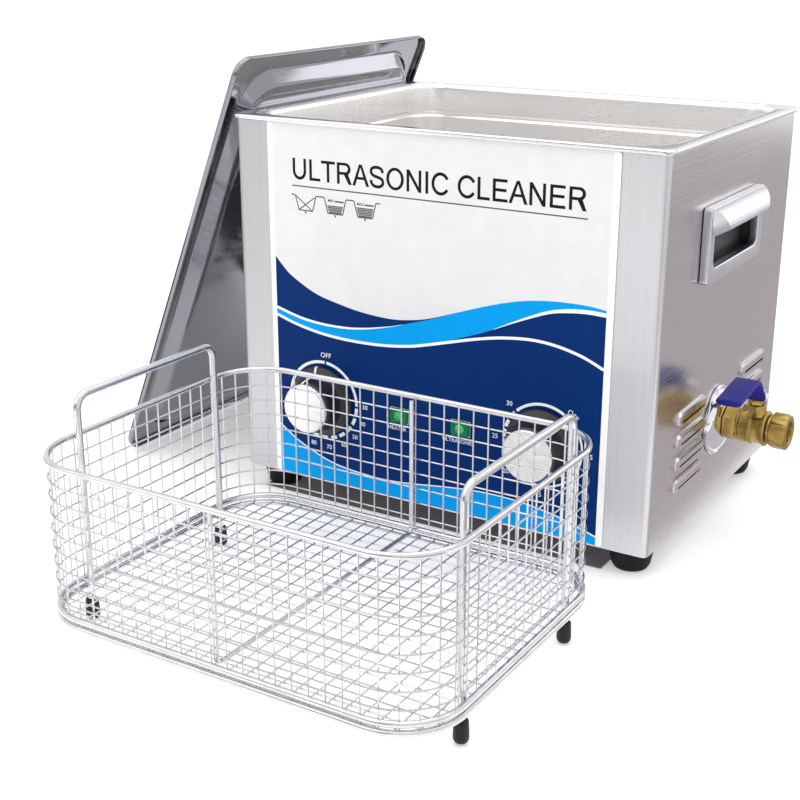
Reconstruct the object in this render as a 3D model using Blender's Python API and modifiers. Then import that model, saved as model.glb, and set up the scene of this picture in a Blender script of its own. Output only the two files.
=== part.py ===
"""Bench-top ultrasonic cleaner: steel case, pressed tank, drain valve, leaning lid and wire basket.

Metres, +Z up, the front panel faces -Y. The machine, the lid and the basket each hang on an empty,
and the origin is the bottom centre of the box around all three as they stand on the bench.
"""
import math

import bmesh
import bpy
from mathutils import Matrix, Vector

MM = 0.001
GAP = 0.3 * MM                     # clearance left between pieces that touch

# Where the three assemblies stand
MACHINE_AT = Vector((39.086, 131.496, 0)) * MM
BASKET_AT = MACHINE_AT + Vector((20, -290, 0)) * MM
LID_TILT = math.radians(22.4)      # lean of the lid from the vertical
LID_SIDEWAYS = 5 * MM              # the lid stands a little behind the machine's middle

# Case
CASE_W, CASE_D, CASE_H = 330 * MM, 252 * MM, 268 * MM
FOOT_H = 18 * MM
SHEET = 1 * MM
CASE_R = 4 * MM
CASE_TOP = FOOT_H + CASE_H
FRONT_Y = -CASE_D / 2
REAR_Y = CASE_D / 2 - SHEET - GAP
SIDE_X = CASE_W / 2

# Tank
RIM_W, RIM_D, RIM_R = 336 * MM, 258 * MM, 8 * MM
MOUTH_W, MOUTH_D, MOUTH_R = 310 * MM, 232 * MM, 26 * MM
TANK_DEPTH = 150 * MM
TANK_SHEET = 1 * MM
RIM_TOP = CASE_TOP + TANK_SHEET + GAP
FLOOR_UNDERSIDE = RIM_TOP - TANK_DEPTH - TANK_SHEET

# Front panel controls, from the case centre and from the case's bottom edge
KNOB_X = (-92 * MM, 87 * MM)
LAMP_X = (-26 * MM, 24 * MM)
CONTROL_Z = FOOT_H + 65 * MM
LAMP_W, LAMP_H = 14 * MM, 10.5 * MM
LABEL_W, LABEL_T = 270 * MM, 0.5 * MM
LABEL_X = -1.4 * MM
LABEL_FACE = FRONT_Y - GAP - LABEL_T

# Carry handles
HANDLE_W, HANDLE_H, HANDLE_T = 109 * MM, 51 * MM, 6 * MM
HANDLE_Y, HANDLE_Z = -8 * MM, FOOT_H + 198 * MM
RECESS_W, RECESS_H = 91 * MM, 31 * MM
CUP_W, CUP_H, CUP_DEPTH = 96 * MM, 36 * MM, 7 * MM

# Louvres: two columns of four in each side
LOUVRE_Y = (-58.5 * MM, 70 * MM)
LOUVRE_Z0, LOUVRE_PITCH, LOUVRE_ROWS = FOOT_H + 36 * MM, 16 * MM, 4
LOUVRE_L, LOUVRE_H, LOUVRE_OUT = 54 * MM, 10 * MM, 2.6 * MM
SLOT_H, SLOT_DROP = 4.4 * MM, 3.2 * MM        # the open slot, and how far it lies below the hood's middle
SHARP = math.radians(69)           # edges that turn more than this are rounded

# Drain
VALVE_Y, VALVE_Z = -4 * MM, FOOT_H + 61 * MM
VALVE_X = 173.3 * MM               # inlet face of the valve
STEM_X = 194 * MM
PIPE_R, PIPE_BORE = 8 * MM, 6 * MM
DRAIN_X = 128 * MM
BALL_R = 8.5 * MM

# Rear panel fittings
FAN_X, FAN_Z, FAN_SIZE, FAN_T = -70 * MM, FOOT_H + 58 * MM, 80 * MM, 25 * MM
INLET_X, SWITCH_X, FUSE_X = 60 * MM, 98 * MM, 128 * MM
POWER_Z = FOOT_H + 45 * MM
ROCKER_TILT = math.radians(8)

# Lid
LID_L, LID_W, LID_R = 350 * MM, 262 * MM, 14 * MM     # inside the turned-down lip
LID_SHEET, LID_LIP, PANEL_OUT = 1 * MM, 5 * MM, 10 * MM

# Basket
BASKET_W, BASKET_D, BASKET_R = 276 * MM, 216 * MM, 38 * MM
RIM_WIRE, LEG_WIRE, TIE_WIRE = 2 * MM, 2.5 * MM, 1.6 * MM
BASKET_RIM_Z, BASKET_TOP_Z = 122 * MM, 148 * MM
RING_Z = (21.5 * MM, 27 * MM)
LEG_X, LEG_Y = 133.2 * MM, 64 * MM
MESH_T = 1.6 * MM


# ---------------------------------------------------------------- scene and materials

def clear_scene():
    for thing in list(bpy.data.objects):
        bpy.data.objects.remove(thing, do_unlink=True)


clear_scene()
PARTS = bpy.data.collections.new("ultrasonic_cleaner")
CUTTERS = bpy.data.collections.new("cutters")
for group in (PARTS, CUTTERS):
    bpy.context.scene.collection.children.link(group)


def material(name, colour, roughness, metallic=0.0):
    made = bpy.data.materials.new(name)
    made.use_nodes = True
    shader = made.node_tree.nodes["Principled BSDF"]
    shader.inputs["Base Color"].default_value = (*colour, 1)
    shader.inputs["Roughness"].default_value = roughness
    shader.inputs["Metallic"].default_value = metallic
    made.diffuse_color = (*colour, 1)
    return made


# Looks: colour, roughness, metallic
BRUSHED = ((0.62, 0.60, 0.60), 0.35, 1)
POLISHED = ((0.80, 0.80, 0.82), 0.15, 1)
CHROME = ((0.85, 0.86, 0.88), 0.08, 1)
BRASS = ((0.62, 0.44, 0.14), 0.30, 1)
WIRE = ((0.78, 0.78, 0.80), 0.20, 1)
BLACK = ((0.02, 0.02, 0.022), 0.45, 0)
RUBBER = ((0.015, 0.015, 0.017), 0.8, 0)
LABEL = ((0.02, 0.08, 0.30), 0.30, 0)
BLUE = ((0.03, 0.04, 0.40), 0.40, 0)
GREEN = ((0.03, 0.45, 0.12), 0.20, 0)
SILVER = ((0.80, 0.80, 0.78), 0.30, 1)
BOARD = ((0.05, 0.25, 0.10), 0.6, 0)
DARK_STEEL = ((0.35, 0.35, 0.37), 0.4, 1)
ORANGE = ((0.55, 0.20, 0.08), 0.6, 0)


def empty(name, location, basis=None):
    marker = bpy.data.objects.new(name, None)
    PARTS.objects.link(marker)
    marker.matrix_world = Matrix.Translation(location) @ (basis or Matrix()).to_4x4()
    return marker


def lid_basis():
    """Axes of the leaning lid: X up its slope, Z out of its inner face."""
    sine, cosine = math.sin(LID_TILT), math.cos(LID_TILT)
    return Matrix(((sine, 0, cosine), (0, -1, 0), (cosine, 0, -sine)))


def lid_position():
    """Centre of the lid when its lip is on the bench and its panel rests on the tank rim."""
    sine, cosine = math.sin(LID_TILT), math.cos(LID_TILT)
    height = (LID_L / 2 + LID_SHEET) * cosine + LID_LIP * sine + 0.05 * MM
    reach = (PANEL_OUT + GAP + (RIM_TOP - height) * sine) / cosine
    return MACHINE_AT + Vector((-RIM_W / 2 - reach, LID_SIDEWAYS, height))


MACHINE = empty("machine", MACHINE_AT)
BASKET = empty("basket", BASKET_AT)
LID = empty("lid_frame", lid_position(), lid_basis())


# ---------------------------------------------------------------- modelling helpers

def add(name, mesh, look, parent, location=(0, 0, 0), rotation=(0, 0, 0)):
    """Link a mesh as one named piece, in its parent's frame, with its own material."""
    thing = bpy.data.objects.new(name, mesh)
    thing.location, thing.rotation_euler = location, rotation
    thing.parent = parent
    if look is None:
        CUTTERS.objects.link(thing)
        thing.hide_render, thing.display_type = True, "WIRE"
    else:
        mesh.materials.append(material(name, *look))
        PARTS.objects.link(thing)
    return thing


def cube_mesh(name, size, centre=(0, 0, 0), bevel=0.0, segments=2):
    work = bmesh.new()
    bmesh.ops.create_cube(work, size=1, matrix=Matrix.Translation(centre) @ Matrix.Diagonal((*size, 1)))
    if bevel:
        bmesh.ops.bevel(work, geom=work.edges[:], offset=bevel, segments=segments,
                        affect="EDGES", profile=0.5)
    mesh = bpy.data.meshes.new(name)
    work.to_mesh(mesh)
    work.free()
    return mesh


def box(name, size, centre, look, parent, bevel=0.0, segments=2):
    return add(name, cube_mesh(name, size, bevel=bevel, segments=segments), look, parent, centre)


QUARTER = math.pi / 2
TURN = {"Z": (0, 0, 0), "X": (0, QUARTER, 0), "FRONT": (QUARTER, 0, 0), "BACK": (-QUARTER, 0, 0)}


def turned(name, profile, look, parent, location, axis="Z", steps=32, closed=False):
    """A profile of (radius, height), outer side from top to bottom, turned about its axis."""
    mesh = bpy.data.meshes.new(name)
    count = len(profile)
    edges = [(i, i + 1) for i in range(count - 1)] + ([(count - 1, 0)] if closed else [])
    mesh.from_pydata([(radius, 0, height) for radius, height in profile], edges, [])
    thing = add(name, mesh, look, parent, location, TURN[axis])
    screw = thing.modifiers.new("turn", "SCREW")
    screw.steps = screw.render_steps = steps
    screw.use_merge_vertices, screw.merge_threshold = True, 1e-5
    screw.use_smooth_shade = True
    return thing


def rod(name, radius, length, look, parent, location, axis="Z", steps=24):
    profile = [(0, length), (radius, length), (radius, 0), (0, 0)]
    return turned(name, profile, look, parent, location, axis, steps)


def arc(x, y, radius, start, end, steps):
    """Points along an arc, with the angles in degrees."""
    angles = [math.radians(start + (end - start) * i / steps) for i in range(steps + 1)]
    return [(x + radius * math.cos(a), y + radius * math.sin(a)) for a in angles]


def rounded_rect(width, depth, radius, steps=5, x=0.0, y=0.0):
    points = []
    for sx, sy, start in ((1, 1, 0), (-1, 1, 90), (-1, -1, 180), (1, -1, 270)):
        corner = (x + sx * (width / 2 - radius), y + sy * (depth / 2 - radius))
        points += arc(*corner, radius, start, start + 90, steps)
    return points


def stadium(length, height, steps=4, x=0.0, y=0.0):
    """Long slot shape with round ends, lying along X."""
    reach, radius = (length - height) / 2, height / 2
    return arc(x + reach, y, radius, -90, 90, steps) + arc(x - reach, y, radius, 90, 270, steps)


def upright(points, x=0.0, y=0.0):
    """The same outline turned to stand along Y, and moved."""
    return [(x - py, y + px) for px, py in points]


def polygon(sides, across_flats, x=0.0, y=0.0):
    radius = across_flats / 2 / math.cos(math.pi / sides)
    return arc(x, y, radius, 0, 360 * (sides - 1) / sides, sides - 1)


def ribbon(path, thickness):
    """Closed outline of a bent strip whose middle line is the path."""
    def side(sign):
        edge = []
        for i, point in enumerate(path):
            here = Vector(point)
            before = (here - Vector(path[i - 1])).normalized() if i else None
            after = (Vector(path[i + 1]) - here).normalized() if i < len(path) - 1 else None
            along = ((before or after) + (after or before)).normalized()
            turn = along.dot(before or after)
            edge.append(here + Vector((-along.y, along.x)) * sign * thickness / 2 / turn)
        return edge
    return [tuple(p) for p in side(1) + side(-1)[::-1]]


def weld(mesh, distance=1e-6):
    work = bmesh.new()
    work.from_mesh(mesh)
    bmesh.ops.remove_doubles(work, verts=work.verts, dist=distance)
    bmesh.ops.recalc_face_normals(work, faces=work.faces)
    work.to_mesh(mesh)
    work.free()


def curve_mesh(name, curve):
    """The evaluated mesh of a curve, with its loose caps welded on."""
    holder = bpy.data.objects.new(name + "_curve", curve)
    bpy.context.scene.collection.objects.link(holder)
    ready = holder.evaluated_get(bpy.context.evaluated_depsgraph_get())
    mesh = bpy.data.meshes.new_from_object(ready)
    bpy.data.objects.remove(holder)
    mesh.name = name
    weld(mesh)
    return mesh


def prism_mesh(name, loops, depth):
    """Flat outline with its holes, extruded half of the depth to either side of the plane."""
    curve = bpy.data.curves.new(name, "CURVE")
    curve.dimensions, curve.fill_mode, curve.extrude = "2D", "BOTH", depth / 2
    for loop in loops:
        spline = curve.splines.new("POLY")
        spline.points.add(len(loop) - 1)
        for point, (x, y) in zip(spline.points, loop):
            point.co = (x, y, 0, 1)
        spline.use_cyclic_u = True
    return curve_mesh(name, curve)


FACING = {"UP": (0, 0, 0), "FRONT": (QUARTER, 0, 0), "RIGHT": (QUARTER, 0, QUARTER)}


def prism(name, loops, depth, look, parent, location=(0, 0, 0), facing="UP"):
    return add(name, prism_mesh(name, loops, depth), look, parent, location, FACING[facing])


def wire(name, path, radius, look, parent, closed=False, sides=2):
    curve = bpy.data.curves.new(name, "CURVE")
    curve.dimensions, curve.bevel_depth, curve.bevel_resolution = "3D", radius, sides
    curve.use_fill_caps = not closed
    spline = curve.splines.new("POLY")
    spline.points.add(len(path) - 1)
    for point, place in zip(spline.points, path):
        point.co = (*place, 1)
    spline.use_cyclic_u = closed
    return add(name, curve_mesh(name, curve), look, parent)


def loft(name, rings, look, parent, close_end=True):
    """Skin rings of equal count; each ring is (points, height)."""
    work = bmesh.new()
    rows = [[work.verts.new((x, y, height)) for x, y in points] for points, height in rings]
    count = len(rows[0])
    for low, high in zip(rows, rows[1:]):
        for i in range(count):
            j = (i + 1) % count
            work.faces.new((low[i], low[j], high[j], high[i]))
    if close_end:
        work.faces.new(rows[-1])
    mesh = bpy.data.meshes.new(name)
    work.to_mesh(mesh)
    work.free()
    mesh.shade_smooth()
    return add(name, mesh, look, parent)


def modify(thing, kind, **settings):
    modifier = thing.modifiers.new(kind.lower(), kind)
    for key, value in settings.items():
        setattr(modifier, key, value)
    return thing


def combine(thing, other, operation):
    return modify(thing, "BOOLEAN", object=other, operation=operation, solver="EXACT")


def cut(thing, *others):
    for other in others:
        combine(thing, other, "DIFFERENCE")
    return thing


def join(thing, *others):
    for other in others:
        combine(thing, other, "UNION")
    return thing


def merged(name, meshes, parent):
    """One hidden tool made of several shapes that don't touch."""
    work = bmesh.new()
    for mesh in meshes:
        work.from_mesh(mesh)
    joined = bpy.data.meshes.new(name)
    work.to_mesh(joined)
    work.free()
    return add(name, joined, None, parent)


# ---------------------------------------------------------------- case

def louvre_places():
    return [(y, LOUVRE_Z0 + row * LOUVRE_PITCH) for y in LOUVRE_Y for row in range(LOUVRE_ROWS)]


def louvre_hood():
    """One long hood with its upper edge rounded over, lying flat and facing up."""
    hood = prism_mesh("hood", [stadium(LOUVRE_L, LOUVRE_H)], LOUVRE_OUT + SHEET / 2)
    work = bmesh.new()
    work.from_mesh(hood)
    sharp = [edge for edge in work.edges if edge.is_manifold and edge.calc_face_angle() > SHARP]
    upper = [edge for edge in sharp if all(vert.co.z > 0 for vert in edge.verts)]
    bmesh.ops.bevel(work, geom=upper, offset=0.75 * LOUVRE_OUT, segments=2, affect="EDGES", profile=0.5)
    work.to_mesh(hood)
    work.free()
    return hood


def louvre_tools(side):
    """Pressed-out hoods, and the slots that open under them, for one side of the case."""
    hoods, slots = [], []
    upright_outward = Matrix.Rotation(QUARTER * side, 4, "Y") @ Matrix.Rotation(QUARTER, 4, "Z")
    slot_size = (4 * LOUVRE_OUT, LOUVRE_L - 1.2 * LOUVRE_H, SLOT_H)
    for y, z in louvre_places():
        hood = louvre_hood()
        spot = (side * (SIDE_X + LOUVRE_OUT / 2 - SHEET / 4), y, z)
        hood.transform(Matrix.Translation(spot) @ upright_outward)
        hoods.append(hood)
        slot_spot = (side * (SIDE_X - 0.7 * LOUVRE_OUT), y, z - SLOT_DROP)
        slots.append(cube_mesh("slot", slot_size, slot_spot))
    return hoods, slots


def housing():
    """Front and both sides bent from one sheet, with a turned-in flange at each rear edge."""
    lip, bend = 12 * MM, CASE_R - SHEET
    rear, inner_x, inner_y = REAR_Y, SIDE_X - SHEET, FRONT_Y + SHEET
    outer = [(lip - SIDE_X, rear), (-SIDE_X, rear)]
    outer += arc(CASE_R - SIDE_X, FRONT_Y + CASE_R, CASE_R, 180, 270, 5)
    outer += arc(SIDE_X - CASE_R, FRONT_Y + CASE_R, CASE_R, 270, 360, 5)
    outer += [(SIDE_X, rear), (SIDE_X - lip, rear), (SIDE_X - lip, rear - SHEET), (inner_x, rear - SHEET)]
    outer += arc(inner_x - bend, inner_y + bend, bend, 0, -90, 5)
    outer += arc(bend - inner_x, inner_y + bend, bend, 270, 180, 5)
    outer += [(-inner_x, rear - SHEET), (lip - SIDE_X, rear - SHEET)]
    case = prism("housing", [outer], CASE_H, BRUSHED, MACHINE, (0, 0, FOOT_H + CASE_H / 2))

    lamp_hole = (LAMP_W + 2 * GAP, 4 * SHEET, LAMP_H + 2 * GAP)
    shaft_hole = (9 * MM, 4 * SHEET, 9 * MM)
    openings = [cube_mesh("lamp_hole", lamp_hole, (x, FRONT_Y, CONTROL_Z)) for x in LAMP_X]
    openings += [cube_mesh("shaft_hole", shaft_hole, (x, FRONT_Y, CONTROL_Z)) for x in KNOB_X]
    openings.append(cube_mesh("drain_hole", (6 * SHEET, 19 * MM, 19 * MM), (SIDE_X, VALVE_Y, VALVE_Z)))
    hoods = []
    for side in (-1, 1):
        openings.append(cube_mesh("cup_hole", (4 * SHEET, CUP_W + 2 * GAP, CUP_H + 2 * GAP),
                                  (side * SIDE_X, HANDLE_Y, HANDLE_Z)))
        side_hoods, side_slots = louvre_tools(side)
        hoods += side_hoods
        openings += side_slots
    join(case, merged("louvre_hoods", hoods, MACHINE))
    cut(case, merged("case_openings", openings, MACHINE))


def fan_slots():
    """Upright slots that fill a round grille in front of the fan."""
    slots, reach = [], FAN_SIZE / 2 - 3 * MM
    for i in range(-5, 6):
        x = i * 6.4 * MM
        half = math.sqrt(reach ** 2 - x ** 2)
        slots.append(upright(stadium(2 * half, 3.6 * MM, 3), FAN_X + x, FAN_Z))
    return slots


def rear_panel():
    middle = FOOT_H + CASE_H / 2
    loops = [rounded_rect(CASE_W - 3 * MM, CASE_H, 3 * MM, 3, 0, middle)] + fan_slots()
    loops.append(rounded_rect(25 * MM, 19 * MM, 0.8 * MM, 1, INLET_X, POWER_Z))
    loops.append(rounded_rect(13 * MM, 19.6 * MM, 0.5 * MM, 1, SWITCH_X, POWER_Z))
    loops.append(arc(FUSE_X, POWER_Z, 6 * MM, 0, 337.5, 15))
    prism("rear_panel", loops, SHEET, BRUSHED, MACHINE, (0, CASE_D / 2 - SHEET / 2, 0), "FRONT")


def base_plate():
    width, depth = CASE_W - 2 * SHEET - 4 * GAP, CASE_D - 3 * SHEET - 6 * GAP
    loops = [rounded_rect(width, depth, 2.5 * MM, 3)]
    for row in range(6):
        loops.append(stadium(70 * MM, 4 * MM, 3, 20 * MM, (row - 2.5) * 9 * MM))
    prism("base_plate", loops, 1.2 * MM, BRUSHED, MACHINE, (0, -0.5 * MM, FOOT_H + 0.6 * MM))


def front_label():
    """Printed overlay on the front, open for the two shafts and the two lamps."""
    height, bottom = CASE_H - 3.4 * MM, FOOT_H + 1.2 * MM
    loops = [rounded_rect(LABEL_W, height, 2 * MM, 3, LABEL_X, bottom + height / 2)]
    loops += [arc(x, CONTROL_Z, 6 * MM, 0, 337.5, 15) for x in KNOB_X]
    loops += [rounded_rect(LAMP_W + 2 * GAP, LAMP_H + 2 * GAP, 0.5 * MM, 1, x, CONTROL_Z) for x in LAMP_X]
    prism("front_label", loops, LABEL_T, LABEL, MACHINE, (0, LABEL_FACE + LABEL_T / 2, 0), "FRONT")


def feet():
    profile = [(0, FOOT_H - GAP), (16 * MM, FOOT_H - GAP), (16 * MM, FOOT_H - 3 * MM),
               (13.2 * MM, 1.5 * MM), (12 * MM, 0), (0, 0)]
    for row, y in (("front", -104 * MM), ("rear", 102 * MM)):
        for side, x in (("left", -146 * MM), ("right", 146 * MM)):
            turned(f"foot_{row}_{side}", profile, RUBBER, MACHINE, (x, y, 0), steps=24)


# ---------------------------------------------------------------- tank and what drives it

def tank():
    """Pressed steel tank: turned-down edge, flat rim, bead at the fill line and a rounded floor."""
    bead, inset = 1.5 * MM, 1 * MM
    sections = [(RIM_W, RIM_D, RIM_R, 3.4 * MM), (RIM_W, RIM_D, RIM_R, inset),
                (RIM_W - inset, RIM_D - inset, RIM_R - inset / 2, 0),
                (MOUTH_W + 3 * MM, MOUTH_D + 3 * MM, MOUTH_R + 1.5 * MM, 0),
                (MOUTH_W + 0.8 * MM, MOUTH_D + 0.8 * MM, MOUTH_R, 0.8 * MM),
                (MOUTH_W, MOUTH_D, MOUTH_R, 3 * MM), (MOUTH_W, MOUTH_D, MOUTH_R, 22 * MM),
                (MOUTH_W + bead, MOUTH_D + bead, MOUTH_R, 23.5 * MM),
                (MOUTH_W + bead, MOUTH_D + bead, MOUTH_R, 25.5 * MM), (MOUTH_W, MOUTH_D, MOUTH_R, 27 * MM),
                (MOUTH_W - inset, MOUTH_D - inset, MOUTH_R, TANK_DEPTH - 14 * MM),
                (MOUTH_W - 5 * MM, MOUTH_D - 5 * MM, MOUTH_R - 2 * MM, TANK_DEPTH - 6 * MM),
                (MOUTH_W - 14 * MM, MOUTH_D - 14 * MM, MOUTH_R - 6 * MM, TANK_DEPTH - 1 * MM),
                (MOUTH_W - 22 * MM, MOUTH_D - 22 * MM, MOUTH_R - 9 * MM, TANK_DEPTH)]
    rings = [(rounded_rect(w, d, r), RIM_TOP - drop) for w, d, r, drop in sections]
    vessel = loft("tank", rings, POLISHED, MACHINE)
    modify(vessel, "SOLIDIFY", thickness=TANK_SHEET, offset=-1, use_even_offset=True)
    cut(vessel, rod("drain_bore", 6.5 * MM, 8 * MM, None, MACHINE,
                    (DRAIN_X, VALVE_Y, FLOOR_UNDERSIDE - 3 * MM), steps=20))


def transducers():
    """Bolted stacks bonded under the tank floor: flared horn, two ceramic rings and a back mass."""
    profile = [(0, 0), (26, 0), (26, -3), (20, -12), (19, -24), (17.5, -24), (17.5, -34), (19, -34),
               (19, -50), (5, -50), (5, -55), (0, -55)]
    profile = [(r * MM, z * MM) for r, z in profile]
    spots = [(-78, -48), (-78, 48), (62, -52), (62, 48)]
    for number, (x, y) in enumerate(spots, 1):
        turned(f"transducer_{number}", profile, SILVER, MACHINE,
               (x * MM, y * MM, FLOOR_UNDERSIDE - GAP), steps=16)


def heater_pads():
    for name, side in (("heater_pad_front", -1), ("heater_pad_rear", 1)):
        box(name, (220 * MM, 2 * MM, 70 * MM), (0, side * (MOUTH_D / 2 + 2.6 * MM), RIM_TOP - 85 * MM),
            ORANGE, MACHINE, 0.5 * MM, 1)


def generator():
    """Driver board on four posts, with its heat sink, transformer and capacitor."""
    x, y, z = -92 * MM, -10 * MM, FOOT_H + 10 * MM
    board = box("generator_board", (110 * MM, 84 * MM, 1.6 * MM), (x, y, z), BOARD, MACHINE)
    blocks = [((60, 14, 26), (-20, -30, 13.5)), ((30, 26, 22), (-30, 8, 11.5)),
              ((16, 16, 20), (10, 10, 10.5)), ((24, 10, 8), (32, -20, 4.5))]
    blocks += [((6, 6, 9), (sx * 48, sy * 36, -4.2)) for sx in (-1, 1) for sy in (-1, 1)]
    shapes = [cube_mesh("block", [v * MM for v in size], [v * MM for v in spot]) for size, spot in blocks]
    tools = merged("board_blocks", shapes, MACHINE)
    tools.location = (x, y, z)
    join(board, tools)


def fan():
    """Cooling fan on the rear panel: square frame with four arms, and a seven-blade rotor."""
    front = CASE_D / 2 - SHEET - 2 * GAP - FAN_T - 1.4 * MM
    middle = (FAN_X, front + FAN_T / 2, FAN_Z)
    frame = box("fan_frame", (FAN_SIZE, FAN_T, FAN_SIZE), middle, BLACK, MACHINE)
    reach = FAN_SIZE / 2 - 2 * MM
    start = (FAN_X, front - FAN_T / 2, FAN_Z)
    cut(frame, rod("fan_bore", reach, 2 * FAN_T, None, MACHINE, start, "BACK", 40))
    hub = rod("fan_hub", 17 * MM, 4 * MM, None, MACHINE, (FAN_X, front, FAN_Z), "BACK", 24)
    join(frame, hub)
    span = FAN_SIZE - 2 * MM
    for size in ((span, 3 * MM, 5 * MM), (5 * MM, 3 * MM, span)):
        arm = box("fan_arm", size, (FAN_X, front + 1.8 * MM, FAN_Z), None, MACHINE)
        arm.rotation_euler.y = math.radians(20)
        join(frame, arm)

    rotor_y = front + 4 * MM + 2 * GAP
    rotor = rod("fan_rotor", 16.5 * MM, 16 * MM, BLACK, MACHINE, (FAN_X, rotor_y, FAN_Z), "BACK", 28)
    middle = Matrix.Translation((FAN_X, rotor_y + 8 * MM, FAN_Z))
    pitch = Matrix.Rotation(math.radians(55), 4, "X")
    for i in range(7):
        shape = cube_mesh("blade", (21 * MM, 1.6 * MM, 15 * MM), (25 * MM, 0, 0))
        blade = add("blade", shape, None, MACHINE)
        blade.matrix_local = middle @ Matrix.Rotation(math.tau * i / 7, 4, "Y") @ pitch
        join(rotor, blade)


# ---------------------------------------------------------------- front controls

def knobs():
    """Two pointer knobs: a black skirted body and a turned metal cap."""
    skirt = [(0, 21), (18.4, 21), (19.2, 20), (20.2, 7), (22, 5.5), (25.4, 4), (26, 3), (26, 0),
             (3.4, 0), (3.4, 14), (0, 14)]
    cap = [(0, 24), (16.4, 24), (17.6, 23.5), (18.2, 22.4), (18.2, 21.3), (0, 21.3)]
    for name, x in zip(("temperature", "timer"), KNOB_X):
        place = (x, LABEL_FACE - 1 * MM, CONTROL_Z)
        turned(f"{name}_knob", [(r * MM, z * MM) for r, z in skirt], BLACK, MACHINE, place, "FRONT", 32)
        turned(f"{name}_knob_cap", [(r * MM, z * MM) for r, z in cap], SILVER, MACHINE, place, "FRONT", 32)


def control_units():
    """Thermostat and clockwork timer behind the panel, each with the shaft that its knob turns on."""
    for name, x, depth in (("thermostat", KNOB_X[0], 30 * MM), ("timer_unit", KNOB_X[1], 36 * MM)):
        back = FRONT_Y + SHEET + GAP + depth
        unit = box(name, (38 * MM, depth, 40 * MM), (x, back - depth / 2, CONTROL_Z), DARK_STEEL, MACHINE)
        start = (x, LABEL_FACE + depth, CONTROL_Z)
        bush = rod(f"{name}_bush", 4 * MM, depth, None, MACHINE, start, "FRONT", 16)
        shaft = rod(f"{name}_shaft", 3 * MM, depth + 12 * MM, None, MACHINE, start, "FRONT", 16)
        join(unit, bush, shaft)


def lamps():
    for name, x in zip(("heater_lamp", "ultrasonic_lamp"), LAMP_X):
        box(name, (LAMP_W, 18 * MM, LAMP_H), (x, LABEL_FACE - 2 * MM + 9 * MM, CONTROL_Z), GREEN, MACHINE,
            0.6 * MM, 2)


# ---------------------------------------------------------------- carry handles

def hood_mesh(name):
    """Hood over the recess, as rings of (width, height, outward) from one end to the other.

    Its section is a curved lip; at both ends it flattens onto the frame's face as a cheek."""
    outer = [(25, 5.4), (23.6, 8.2), (20.5, 11.2), (16.6, 13.2), (12.8, 14.2), (10.5, 14.3)]
    inner = [(10.5, 12.3), (12.6, 12.1), (15.6, 11.2), (18.4, 9.4), (20.4, 5.4)]
    flat = [(25 - 4 * i, 6.3) for i in range(6)] + [(5 + 3.6 * i, 5.2) for i in range(5)]
    work = bmesh.new()
    rows = []
    for across, section in ((-53.5, flat), (-44, outer + inner), (44, outer + inner), (53.5, flat)):
        rows.append([work.verts.new(Vector((across, up, out)) * MM) for up, out in section])
    for low, high in zip(rows, rows[1:]):
        for i, vert in enumerate(low):
            work.faces.new((low[i - 1], vert, high[i], high[i - 1]))
    work.faces.new(rows[0])
    work.faces.new(rows[-1])
    bmesh.ops.triangulate(work, faces=work.faces)
    bmesh.ops.recalc_face_normals(work, faces=work.faces)
    mesh = bpy.data.meshes.new(name)
    work.to_mesh(mesh)
    work.free()
    return mesh


def carry_handle(name, side):
    """Chromed frame over the side opening, with a hood above the finger recess."""
    frame = prism_mesh(name, [rounded_rect(HANDLE_W, HANDLE_H, 3 * MM, 3),
                              rounded_rect(RECESS_W, RECESS_H, 6 * MM, 4)], HANDLE_T)
    place = Vector((side * (SIDE_X + GAP), HANDLE_Y, HANDLE_Z))
    basis = Matrix(((0, 0, side), (side, 0, 0), (0, 1, 0)))      # width, height, outward
    spot = Matrix.Translation(place) @ basis.to_4x4()
    handle = add(name, frame, CHROME, MACHINE)
    handle.matrix_local = spot @ Matrix.Translation((0, 0, HANDLE_T / 2))
    hood = add(f"{name}_hood", hood_mesh("hood"), None, MACHINE)
    hood.matrix_local = spot
    join(handle, hood)


def handle_cup(name, side):
    """Black pocket behind the frame's opening."""
    wall = 1.2 * MM
    middle = Vector((side * (SIDE_X - CUP_DEPTH / 2), HANDLE_Y, HANDLE_Z))
    outer = box(name, (CUP_DEPTH, CUP_W, CUP_H), middle, BLACK, MACHINE)
    pocket_size = (CUP_DEPTH, CUP_W - 2 * wall, CUP_H - 2 * wall)
    cut(outer, box(f"{name}_pocket", pocket_size, middle + Vector((side * wall, 0, 0)), None, MACHINE))


# ---------------------------------------------------------------- drain and valve

def drain_pipe():
    """Bent tube from the tank floor to the valve."""
    start, end, bend = FLOOR_UNDERSIDE - GAP, VALVE_X - GAP, 14 * MM
    path = [(DRAIN_X, start)] + arc(DRAIN_X + bend, VALVE_Z + bend, bend, 180, 270, 6) + [(end, VALVE_Z)]
    bore_path = [(DRAIN_X, start + MM)] + path[1:-1] + [(end + MM, VALVE_Z)]
    pipe = wire("drain_pipe", [(x, VALVE_Y, z) for x, z in path], PIPE_R, SILVER, MACHINE, sides=4)
    cut(pipe, wire("pipe_bore", [(x, VALVE_Y, z) for x, z in bore_path], PIPE_BORE, None, MACHINE, sides=4))


def escutcheon():
    profile = [(8.6, 7.6), (12.5, 7.6), (17, 6.6), (21.5, 4.4), (24, 2.4), (25.5, 2.2), (25.5, 0), (8.6, 0)]
    turned("escutcheon", [(r * MM, z * MM) for r, z in profile], CHROME, MACHINE,
           (SIDE_X + GAP, VALVE_Y, VALVE_Z), "X", 32, closed=True)


def ball_profile(radius, steps):
    """Half circle from the top to the bottom of a ball, ending exactly on the axis."""
    angles = [math.pi * i / steps for i in range(1, steps)]
    return [(0, radius)] + [(radius * math.sin(a), radius * math.cos(a)) for a in angles] + [(0, -radius)]


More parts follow.
